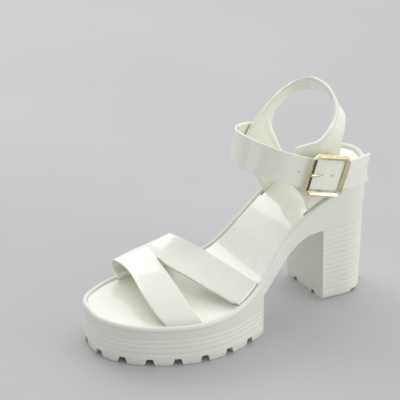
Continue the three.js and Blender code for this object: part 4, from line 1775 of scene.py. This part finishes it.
    def seams(self, grid: np.ndarray) -> bpy.types.Object:
        """Stitch rows inside the top edge and the two front edges, on both skins.

        Args:
            grid: Middle points of the wall.

        Returns:
            The thread.
        """
        stitches = Stitches()
        skin, ends = self.rim.upper_wall / 2, self.seam_ends
        columns = grid.transpose(1, 0, 2)
        front = int(grid.shape[1] * self.front_seam_share)
        for lift in (skin, -skin):
            stitches.sew(*edge_line(grid, slice(ends, len(grid) - ends), self.seam_inset, lift))
            for distance in (self.seam_inset, -self.seam_inset):
                stitches.sew(*edge_line(columns, slice(ends, front), distance, -lift))
        return stitches.object("quarter_thread")

    def build(self) -> None:
        """Build and dress the quarter and its thread."""
        grid = self.grid()
        made = StrapWall("quarter", grid, self.rim.upper_wall, self.edge_radius).object()
        dress(made, [self.finish.material(), self.edge.material()])
        report(made, "quarter", "quarter")
        thread = self.seams(grid)
        dress(thread, [self.thread.material()])
        report(thread, "quarter")


@dataclass
class AnkleStrap:
    """Strap from the seam on the inner side, round the ankle, to its free end on the outer side."""

    rim: Rim
    ankle_half_width: float = 33.0
    width: float = 23.2
    wall: float = 1.8
    end_hollow: float = 2.5
    tilt: float = 0.38
    front_height: float = 131.4
    front_along: float = 127.6
    steps: int = 190
    columns: int = 14
    edge_radius: float = 0.45
    hole_radius: float = 0.75
    hole_pitch: float = 9.6
    holes: tuple[int, ...] = (-2, -1, 0, 1, 2)
    hole_sides: int = 16
    punch_reach: float = 3.0
    step_reach: float = 0.01
    length_steps: int = 800
    rough_length: float = 240.0
    hollow_reach: float = 5.0
    seam_inset: float = 2.0
    seam_ends: int = 6
    box_length: float = 16.0
    box_side: float = 15.0
    crease: float = 60.0
    rows: Rows = (
        dict(x=-1.105, y=0.75, lift=0, lean=1),
        dict(x=-1.11, y=0.7, lift=0, lean=1),
        dict(x=-1.06, y=0.647, lift=-0.03, lean=1),
        dict(x=-0.84, y=0.594, lift=-0.06, lean=0.7),
        dict(x=-0.45, y=0.556, lift=-0.04, lean=0.55),
        dict(x=-0.02, y=0.545, lift=0, lean=0.8),
        dict(x=0.42, y=0.568, lift=0, lean=1),
        dict(x=0.82, y=0.62, lift=0, lean=1),
        dict(x=1.05, y=0.69, lift=0.02, lean=1),
        dict(x=1.11, y=0.745, lift=0.05, lean=1),
        dict(x=1.11, y=0.8, lift=0.08, lean=0.8),
        dict(x=1.06, y=0.87, lift=0.2, lean=0.4),
        dict(x=0.97, y=0.941, lift=0.43, lean=0.1),
    )
    finish: PatentFinish = PatentFinish("patent_ankle_strap", wave=15.0)
    edge: EdgeFinish = EdgeFinish("edge_ankle_strap")
    thread: ThreadFinish = ThreadFinish("thread_ankle_strap")

    def __post_init__(self) -> None:
        """Number the rows evenly along the strap."""
        last = len(self.rows) - 1
        self._table = Table("step", [dict(row, step=k / last) for k, row in enumerate(self.rows)])

    def middle(self, step: float) -> np.ndarray:
        """Middle of the strap at a step.

        Args:
            step: Step from the seam, 0, to the free end, 1.

        Returns:
            The place.
        """
        y = self.rim.y(float(self._table.at("y", step)))
        drop = self.tilt * (y + self.rim.length / 2 - self.front_along)
        z = self.front_height - drop + float(self._table.at("lift", step)) * self.width
        return np.array([float(self._table.at("x", step)) * self.ankle_half_width, y, z])

    def axes(self, step: float) -> tuple[np.ndarray, np.ndarray, np.ndarray]:
        """Directions of the strap at a step.

        Args:
            step: Step from the seam, 0, to the free end, 1.

        Returns:
            Directions along the strap, across it and out of it.
        """
        reach = self.step_reach
        along = unit(self.middle(min(step + reach, 1)) - self.middle(max(step - reach, 0)))
        tilt = math.atan(self.tilt) * float(self._table.at("lean", step))
        across = np.array([0, math.sin(tilt), math.cos(tilt)])
        return along, across, unit(np.cross(along, across))

    def grid(self) -> np.ndarray:
        """Middle points of the wall, from the seam to the hollow free end.

        Returns:
            Grid of points.
        """
        share = 2 * edge_steps(self.edge_radius / self.width, self.columns) - 1
        steps = edge_steps(self.edge_radius / self.rough_length, self.steps)
        grid = np.array([self.middle(s) + np.outer(share * self.width / 2, self.axes(s)[1]) for s in steps])
        left = down_lengths(grid)
        pull = 1 - smooth(left[-1:] - left, 0, self.hollow_reach * self.end_hollow)
        return grid - (pull * self.end_hollow * (1 - abs(share)))[..., None] * self.axes(1.0)[0]

    def hole(self, step: float) -> bpy.types.Object:
        """A round punch through the strap.

        Args:
            step: Step of its middle.

        Returns:
            The body that is cut away.
        """
        axes = np.stack(self.axes(step))
        start = self.middle(step) - axes[2] * self.punch_reach
        outline = circle(self.hole_radius, self.hole_sides)
        return prism(outline, 0, 2 * self.punch_reach, lambda p: start + p @ axes).object("punch")

    def step_at(self, start: float, distance: float) -> float:
        """Step that lies a distance along the strap from another step.

        Args:
            start: The other step.
            distance: Distance towards the free end.

        Returns:
            The step.
        """
        steps = np.linspace(0, 1, self.length_steps)
        travelled = travel(np.array([self.middle(s) for s in steps]))
        return float(np.interp(np.interp(start, steps, travelled) + distance, travelled, steps))

    def seams(self, grid: np.ndarray) -> bpy.types.Object:
        """The sewn box that fixes the strap to the inner side of the quarter.

        Args:
            grid: Middle points of the wall.

        Returns:
            The thread.
        """
        stitches = Stitches()
        columns = grid.transpose(1, 0, 2)
        lift, ends = self.wall / 2, self.seam_ends
        for distance in (self.seam_inset, self.box_length):
            stitches.sew(*edge_line(columns, slice(ends, grid.shape[1] - ends), distance, -lift))
        rows = slice(ends, int(np.argmax(travel(grid[:, 0]) > self.box_side)))
        for distance in (self.seam_inset, -self.seam_inset):
            stitches.sew(*edge_line(grid, rows, distance, lift))
        return stitches.object("ankle_strap_thread")

    def build(self, prong_step: float) -> None:
        """Build and dress the strap.

        Args:
            prong_step: Step of the hole that the prong comes up through.
        """
        grid = self.grid()
        made = StrapWall("ankle_strap", grid, self.wall, self.edge_radius).object()
        holes = [self.hole(self.step_at(prong_step, k * self.hole_pitch)) for k in self.holes]
        combine(made, holes, Cut.TAKE)
        shade(made, self.crease)
        dress(made, [self.finish.material(), self.edge.material()])
        report(made, "ankle_strap", "ankle_strap")
        thread = self.seams(grid)
        dress(thread, [self.thread.material()])
        report(thread, "ankle_strap")


# The buckle


@dataclass
class Buckle:
    """Plated frame with a hidden pivot, its prong, and the tab that holds it to the quarter."""

    strap: AnkleStrap
    length: float = 35.0
    bar: float = 3.4
    rail_gap: float = 1.0
    thickness: float = 2.4
    chamfer: float = 4.0
    pivot_radius: float = 0.9
    prong_radius: float = 0.8
    tab_wall: float = 1.0
    tab_width: float = 15.0
    tab_length: float = 22.0
    prong_slot: float = 2.4
    prong_hole_at: float = -4.6
    tip_inset: float = 0.4
    step: float = 0.77
    clearance: float = 0.3
    inner_chamfer: float = 1.2
    crown: float = 0.4
    corner: float = 0.16
    corner_angle: float = 18.0
    pivot_sides: int = 24
    ear_half: float = 1.5
    ear_chamfer: float = 0.5
    ear_relief: float = 1.0
    prong_points: int = 60
    prong_sides: int = 16
    groove_sides: int = 20
    eye_sides: int = 28
    prong_lead: float = 4.6
    prong_dip: float = 0.6
    tip_points: int = 6
    tip_share: float = 0.93
    fold_steps: int = 16
    fold_swell_at: float = 1.6
    fold_swell: float = 2.5
    fold_flat_from: float = 3.0
    tab_corner: float = 0.22
    tab_corner_angle: float = 50.0
    seam_inset: float = 1.6
    seam_start: float = 9.0
    seam_gap: float = 0.06
    seam_points: int = 12
    channel_inset: float = 0.55
    channel_short: float = 0.6
    channel_gap: float = 1.3
    channel_over: float = 1.0
    # Size of the dark fill in the front bar's channel, which is painted shade and painted dark reflection.
    fill_width: float = 2.0
    fill_depth: float = 0.9
    fill_height: float = 0.4
    fill_side: float = 0.25
    fill_slope: float = 0.3
    frame_crease: float = 30.0
    prong_crease: float = 50.0
    tab_crease: float = 40.0
    plating: PlatedFinish = PlatedFinish("plated_buckle")
    # The dark fill's finish is painted shade and painted dark reflection.
    painted_reflection_finish: PaintedShadeFinish = PaintedShadeFinish("painted_shade_and_reflection")
    patent: PatentFinish = PatentFinish("patent_buckle_tab")
    thread: ThreadFinish = ThreadFinish("thread_buckle_tab")

    def __post_init__(self) -> None:
        """Work out the buckle's own frame and the heights in it."""
        along, _, out = self.strap.axes(self.step)
        up = np.cross(out, along)
        self._origin = self.strap.middle(self.step) + out * (self.strap.wall / 2 + self.clearance)
        self._axes = np.stack([along, up, out])
        self._underside = -self.clearance - self.strap.wall
        self._pivot = self._underside - self.clearance - self.tab_wall - self.clearance - self.pivot_radius
        self._bearing = self.pivot_radius + self.clearance
        self._rail = self.strap.width / 2 + self.rail_gap
        start = -self.length / 2 + self.channel_inset
        self._channel = start, start + self.fill_width
        reach = self._rail - self.channel_short
        self._channel_ends = (-reach, -self.channel_gap), (self.channel_gap, reach)
        self._crown = self.thickness + self.crown

    def put(self, points: np.ndarray) -> np.ndarray:
        """Turn points of the buckle's own frame into places on the shoe."""
        return self._origin + np.asarray(points, float) @ self._axes

    def across(self, y: float = 0.0, z: float = 0.0) -> Callable:
        """Placing of a prism that lies across the buckle.

        Args:
            y: Its move across the strap.
            z: Its move out of the strap.

        Returns:
            Function that turns the prism's own points into places on the shoe.
        """
        move = np.array([0, y, z])
        return lambda p: self.put(p[:, [0, 2, 1]] + move)

    def octagon(self, inset: float) -> np.ndarray:
        """Outline of the frame.

        Args:
            inset: Distance inwards from its outer edge.

        Returns:
            Eight corners.
        """
        x, y = self.length / 2 - inset, self._rail + self.bar - inset
        corner = self.chamfer + (self.inner_chamfer - self.chamfer) * inset / self.bar
        return np.array([
            (-x + corner, -y), (x - corner, -y), (x, -y + corner), (x, y - corner),
            (x - corner, y), (-x + corner, y), (-x, y - corner), (-x, -y + corner),
        ])

    def frame(self) -> bpy.types.Object:
        """The frame: a faceted section round an octagon, with ears and pivot behind.

        Returns:
            The closed body.
        """
        bar, high = self.bar, self.thickness
        section = [
            (0.2, -0.1), (-0.25, 0.3), (-0.3, 1.0), (0.0, 1.35), (1.25, high + 0.35), (1.55, self._crown),
            (bar + 0.05, 1.5), (bar + 0.15, 1.1), (bar + 0.1, 0.3), (bar - 0.2, -0.1),
        ]
        outlines = [self.octagon(inset) for inset, _ in section]
        rings = [np.column_stack([flat, np.full(len(flat), z)]) for flat, (_, z) in zip(outlines, section)]
        count = len(rings[0])
        faces = []
        for k in range(len(rings)):
            after = (k + 1) % len(rings)
            for i in range(count):
                j = (i + 1) % count
                faces.append((k * count + i, k * count + j, after * count + j, after * count + i))
        draft = Draft()
        draft.add(self.put(np.concatenate(rings)), faces)
        made = draft.object("buckle_frame", crease=20)
        radii = np.full(self.prong_points, self.prong_radius + self.clearance)
        groove = tube(self.prong_path(2 * self.tip_inset), radii, self.groove_sides)
        groove.corners = list(self.put(np.array(groove.corners)))
        combine(made, [*self.ears(), self.pivot()], Cut.ADD)
        combine(made, [groove.object("groove"), *self.channel()], Cut.TAKE)
        round_edges(made, self.corner, self.corner_angle)
        shade(made, self.frame_crease)
        return made

    def channel(self) -> list[bpy.types.Object]:
        """The two bodies that fill the front bar's channel, above and below the prong.

        Returns:
            Two closed bodies in the channel, reaching over the crown.
        """
        start, end = self._channel
        floor, head = self._crown - self.fill_depth, self._crown + self.channel_over
        shape = np.array([(start, floor), (end, floor), (end, head), (start, head)])
        return [prism(shape, *ends, self.across()).object("channel") for ends in self._channel_ends]

    def painted_shade_fill(self) -> bpy.types.Object:
        """Dark fill in most of the front bar's channel: painted shade and painted dark reflection.

        Returns:
            One object of two closed bodies.
        """
        start, end = self._channel
        floor, slope = self._crown - self.fill_depth, self.fill_slope
        side, head = floor + self.fill_side, floor + self.fill_height
        shape = np.array([
            (start, floor), (end, floor), (end, side),
            (end - slope, head), (start + slope, head), (start, side),
        ])
        draft = Draft()
        for ends in self._channel_ends:
            filled = prism(shape, *ends, self.across())
            draft.add(np.array(filled.corners), filled.faces)
        return draft.object("buckle_dark_fill_painted_shade", weld=NUDGE, crease=self.frame_crease)

    def ears(self) -> list[bpy.types.Object]:
        """The two ears that carry the pivot behind the frame's long sides.

        Returns:
            Two closed bodies.
        """
        top, low = self.thickness / 2, self._pivot - self.pivot_radius
        thick = (self.bar - self.ear_relief) / 2
        half, cut = self.ear_half, self.ear_chamfer
        outline = np.array([
            (-half, low + cut), (-half + cut, low), (half - cut, low),
            (half, low + cut), (half, top), (-half, top),
        ])
        middle = self._rail + self.bar / 2
        return [prism(outline, -thick, thick, self.across(y)).object("ear") for y in (-middle, middle)]

    def pivot(self) -> bpy.types.Object:
        """The round bar that the prong and the tab turn on.

        Returns:
            The closed body.
        """
        half = self._rail + self.bar / 2
        outline = circle(self.pivot_radius, self.pivot_sides)
        return prism(outline, -half, half, self.across(z=self._pivot)).object("pivot")

    def prong_path(self, beyond: float = 0.0) -> np.ndarray:
        """Path of the prong from the pivot through the strap to the front bar.

        Args:
            beyond: How much further than its tip the path runs.

        Returns:
            Array of points in the buckle's own frame.
        """
        rest = self.thickness - self.prong_radius / 2 + self.clearance
        tip = -self.length / 2 + self.tip_inset - beyond
        points = [
            (-self._bearing, 0, self._pivot + self.prong_dip),
            (self.prong_hole_at, 0, self._underside + self.strap.wall / 2),
            (self.prong_hole_at - self.prong_lead, 0, rest - self.prong_dip),
            (tip + beyond + self.bar, 0, rest),
            (tip, 0, rest),
        ]
        return through(np.array(points), self.prong_points)

    def prong(self) -> bpy.types.Object:
        """The prong: an eye round the pivot, a bent shank and a rounded tip.

        Returns:
            The closed body.
        """
        radii = np.full(self.prong_points, self.prong_radius)
        radii[-self.tip_points:] *= np.sqrt(1 - np.linspace(0, self.tip_share, self.tip_points) ** 2)
        shank = tube(self.prong_path(), radii, self.prong_sides)
        shank.corners = list(self.put(np.array(shank.corners)))
        made = shank.object("buckle_prong", crease=self.prong_crease)
        place, reach = self.across(z=self._pivot), self.prong_radius
        outside, inside = (circle(self._bearing + more, self.eye_sides) for more in (reach, 0))
        combine(made, [prism(outside, -reach, reach, place).object("eye")], Cut.ADD)
        combine(made, [prism(inside, -2 * reach, 2 * reach, place).object("bore")], Cut.TAKE)
        shade(made, self.prong_crease)
        return made

    def tab(self) -> bpy.types.Object:
        """The strip folded round the pivot and slotted for the prong; the stitches that sew its two layers
        are made by seams.

        Returns:
            The closed body.
        """
        wall, outer = self.tab_wall, self._bearing + self.tab_wall
        arc = np.linspace(math.pi / 2, 3 * math.pi / 2, self.fold_steps + 1)
        outline = [
            (self.tab_length, -outer), (self.tab_length, -outer + 2 * wall),
            (self.fold_flat_from * outer, -outer + 2 * wall),
            (self.fold_swell_at * outer, -outer + self.fold_swell * wall),
        ]
        outline += [(outer * math.cos(a), outer * math.sin(a)) for a in arc]
        place, half = self.across(z=self._pivot), self.tab_width / 2
        made = prism(np.array(outline), -half, half, place).object("buckle_tab")
        bore = circle(self._bearing, self.fold_steps)
        front, reach = -outer + self._bearing + self.clearance, 2 * outer
        left, right = front - reach, front + reach
        slot = np.array([(left, -reach), (right, -reach), (right, reach), (left, reach)])
        cuts = ((bore, self.tab_width, "bore"), (slot, self.prong_slot / 2, "slot"))
        combine(made, [prism(flat, -deep, deep, place).object(name) for flat, deep, name in cuts], Cut.TAKE)
        round_edges(made, self.tab_corner, self.tab_corner_angle)
        shade(made, self.tab_crease)
        return made

    def seams(self) -> bpy.types.Object:
        """Stitch box on the tab's outer layer.

        Returns:
            The thread.
        """
        stitches = Stitches()
        z = self._pivot - self._bearing + self.tab_wall
        half = self.tab_width / 2 - self.seam_inset
        start, end = self.seam_start, self.tab_length - self.seam_inset
        corners = np.array([(start, -half, z), (end, -half, z), (end, half, z), (start, half, z)])
        t = np.linspace(self.seam_gap, 1 - self.seam_gap, self.seam_points)[:, None]
        for here, there in zip(corners, np.roll(corners, -1, axis=0)):
            stitches.sew(self.put(here + (there - here) * t), np.tile(self._axes[2], (len(t), 1)))
        return stitches.object("buckle_tab_thread")

    def prong_step(self) -> float:
        """Step of the strap where the prong comes up."""
        return self.strap.step_at(self.step, self.prong_hole_at)

    def build(self) -> None:
        """Build and dress the buckle's pieces."""
        frame, prong = self.frame(), self.prong()
        plated = self.plating.material()
        dress(frame, [plated])
        report(frame, "buckle_frame", "buckle_frame")
        # Painted shade and painted dark reflection: the dark fill in the front bar's channel.
        painted_shade_fill = self.painted_shade_fill()
        dress(painted_shade_fill, [self.painted_reflection_finish.material()])
        report(painted_shade_fill, "buckle_frame")
        dress(prong, [plated])
        report(prong, "buckle_prong", "buckle_prong")
        tab = self.tab()
        dress(tab, [self.patent.material()])
        report(tab, "buckle_tab", "buckle_tab")
        thread = self.seams()
        dress(thread, [self.thread.material()])
        report(thread, "buckle_tab")


# The studio


@dataclass(frozen=True)
class Lamp:
    """A soft square light that looks at the shoe, its lengths in metres and its power in watts."""

    name: str
    direction: tuple[float, float, float]
    distance: float
    size: float
    power: float
    tint: tuple[float, float, float]


@dataclass
class Studio:
    """Camera at the photographed angle, a plain pale floor and soft lights."""

    azimuth: float = 57.331
    elevation: float = 28.109
    distance: float = 1539.181
    focal: float = 2099.846
    frame: float = 400.0
    shift_right: float = 21.93
    shift_up: float = -13.145
    aim_height: float = 80.0
    sensor: float = 36.0
    clip: tuple[float, float] = (0.05, 20.0)
    floor_reach: float = 6.0
    surroundings: float = 1.05
    bright_way: tuple[float, float, float] = (-0.34, 0.72, 0.6)
    dim_at: float = -0.7
    bright_at: float = 0.9
    dim: tuple[float, float, float] = (0.3, 0.31, 0.33)
    bright: tuple[float, float, float] = (0.98, 0.99, 1.0)
    lamps: tuple[Lamp, ...] = (
        Lamp("window", (-0.74, -0.08, 0.64), 1.1, 0.55, 2.2, (1.0, 1.0, 0.98)),
        Lamp("rear_window", (-0.62, 0.62, 0.5), 1.5, 2.2, 4.4, (0.98, 1.0, 1.0)),
        Lamp("side_fill", (0.9, 0.7, 0.25), 1.6, 0.9, 6.5, (1.0, 0.995, 0.97)),
        Lamp("front_fill", (0.1, -1.0, 0.22), 1.8, 0.8, 2.0, (1.0, 0.99, 0.97)),
    )
    floor: FloorFinish = FloorFinish("studio_floor")

    def axes(self) -> tuple[Vector, Vector, Vector]:
        """Directions of the camera.

        Returns:
            Directions to its right, up and back.
        """
        a, e = math.radians(self.azimuth), math.radians(self.elevation)
        back = Vector((math.sin(a) * math.cos(e), -math.cos(a) * math.cos(e), math.sin(e)))
        right = Vector((math.cos(a), math.sin(a), 0))
        return right, back.cross(right), back

    def place_camera(self) -> None:
        """Set the camera at the photographed angle."""
        right, up, back = self.axes()
        data = bpy.data.cameras.new("camera")
        data.sensor_width = self.sensor
        data.lens = self.sensor * self.focal / self.frame
        data.clip_start, data.clip_end = self.clip
        camera = bpy.data.objects.new("camera", data)
        place = Vector((0, 0, self.aim_height)) + back * self.distance
        place -= right * self.shift_right + up * self.shift_up
        turn = Matrix((right, up, back)).transposed().to_4x4()
        camera.matrix_world = Matrix.Translation(place * METRES) @ turn
        bpy.context.scene.collection.objects.link(camera)
        bpy.context.scene.camera = camera

    def lay_floor(self) -> None:
        """Lay the floor under the shoe."""
        mesh = bpy.data.meshes.new("floor")
        reach = self.floor_reach
        corners = [(-reach, -reach, 0), (reach, -reach, 0), (reach, reach, 0), (-reach, reach, 0)]
        mesh.from_pydata(corners, [], [(0, 1, 2, 3)])
        floor = bpy.data.objects.new("floor", mesh)
        bpy.context.scene.collection.objects.link(floor)
        dress(floor, [self.floor.material()])
        floor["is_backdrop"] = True

    def hang(self, lamp: Lamp) -> None:
        """Hang one light.

        Args:
            lamp: The light.
        """
        data = bpy.data.lights.new(lamp.name, "AREA")
        data.shape = "SQUARE"
        data.size = lamp.size
        data.energy = lamp.power
        data.color = lamp.tint
        made = bpy.data.objects.new(lamp.name, data)
        way = Vector(lamp.direction).normalized()
        made.location = Vector((0, 0, self.aim_height * METRES)) + way * lamp.distance
        made.rotation_mode = "QUATERNION"
        made.rotation_quaternion = way.to_track_quat("Z", "Y")
        bpy.context.scene.collection.objects.link(made)

    def hang_lights(self) -> None:
        """Hang the window-like key light, the fills and the pale surroundings."""
        world = bpy.data.worlds.new("surroundings")
        world.use_nodes = True
        tree = world.node_tree
        background = tree.nodes["Background"]
        background.inputs["Strength"].default_value = self.surroundings
        way = tree.nodes.new("ShaderNodeVectorMath")
        way.operation = "DOT_PRODUCT"
        way.inputs[1].default_value = self.bright_way
        share = tree.nodes.new("ShaderNodeMapRange")
        share.inputs["From Min"].default_value = self.dim_at
        share.inputs["From Max"].default_value = self.bright_at
        ramp = tree.nodes.new("ShaderNodeValToRGB")
        tree.links.new(tree.nodes.new("ShaderNodeTexCoord").outputs["Generated"], way.inputs[0])
        tree.links.new(way.outputs["Value"], share.inputs["Value"])
        tree.links.new(share.outputs["Result"], ramp.inputs["Fac"])
        tree.links.new(ramp.outputs["Color"], background.inputs["Color"])
        low, high = ramp.color_ramp.elements
        low.color, high.color = (*self.dim, 1), (*self.bright, 1)
        bpy.context.scene.world = world
        for lamp in self.lamps:
            self.hang(lamp)

    def tune_view(self) -> None:
        """Set the plain colour view."""
        view = bpy.context.scene.view_settings
        view.view_transform = "Standard"
        view.look = "None"
        view.exposure = 0.0

    def build(self) -> None:
        """Build the whole studio."""
        self.place_camera()
        self.lay_floor()
        self.hang_lights()
        self.tune_view()


def main() -> None:
    """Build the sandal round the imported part, then the studio."""
    logging.basicConfig(level=logging.INFO, format="%(name)s: %(message)s")
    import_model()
    cad_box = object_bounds()
    rim = Rim()
    vamp, quarter = Vamp(rim), Quarter(rim)
    strap = AnkleStrap(rim)
    buckle = Buckle(strap)
    SoleUnit(rim).build()
    Insole(rim, [*vamp.slots(), *quarter.slots()]).build()
    vamp.build()
    quarter.build()
    strap.build(buckle.prong_step())
    buckle.build()
    Studio().build()
    boxes = {"cad": cad_box, "visual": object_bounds()}
    {name: [list(map(float, corner)) for corner in box] for name, box in boxes.items()}
    LOG.info("boxes: %s", boxes)


if __name__ == "__main__":
    main()
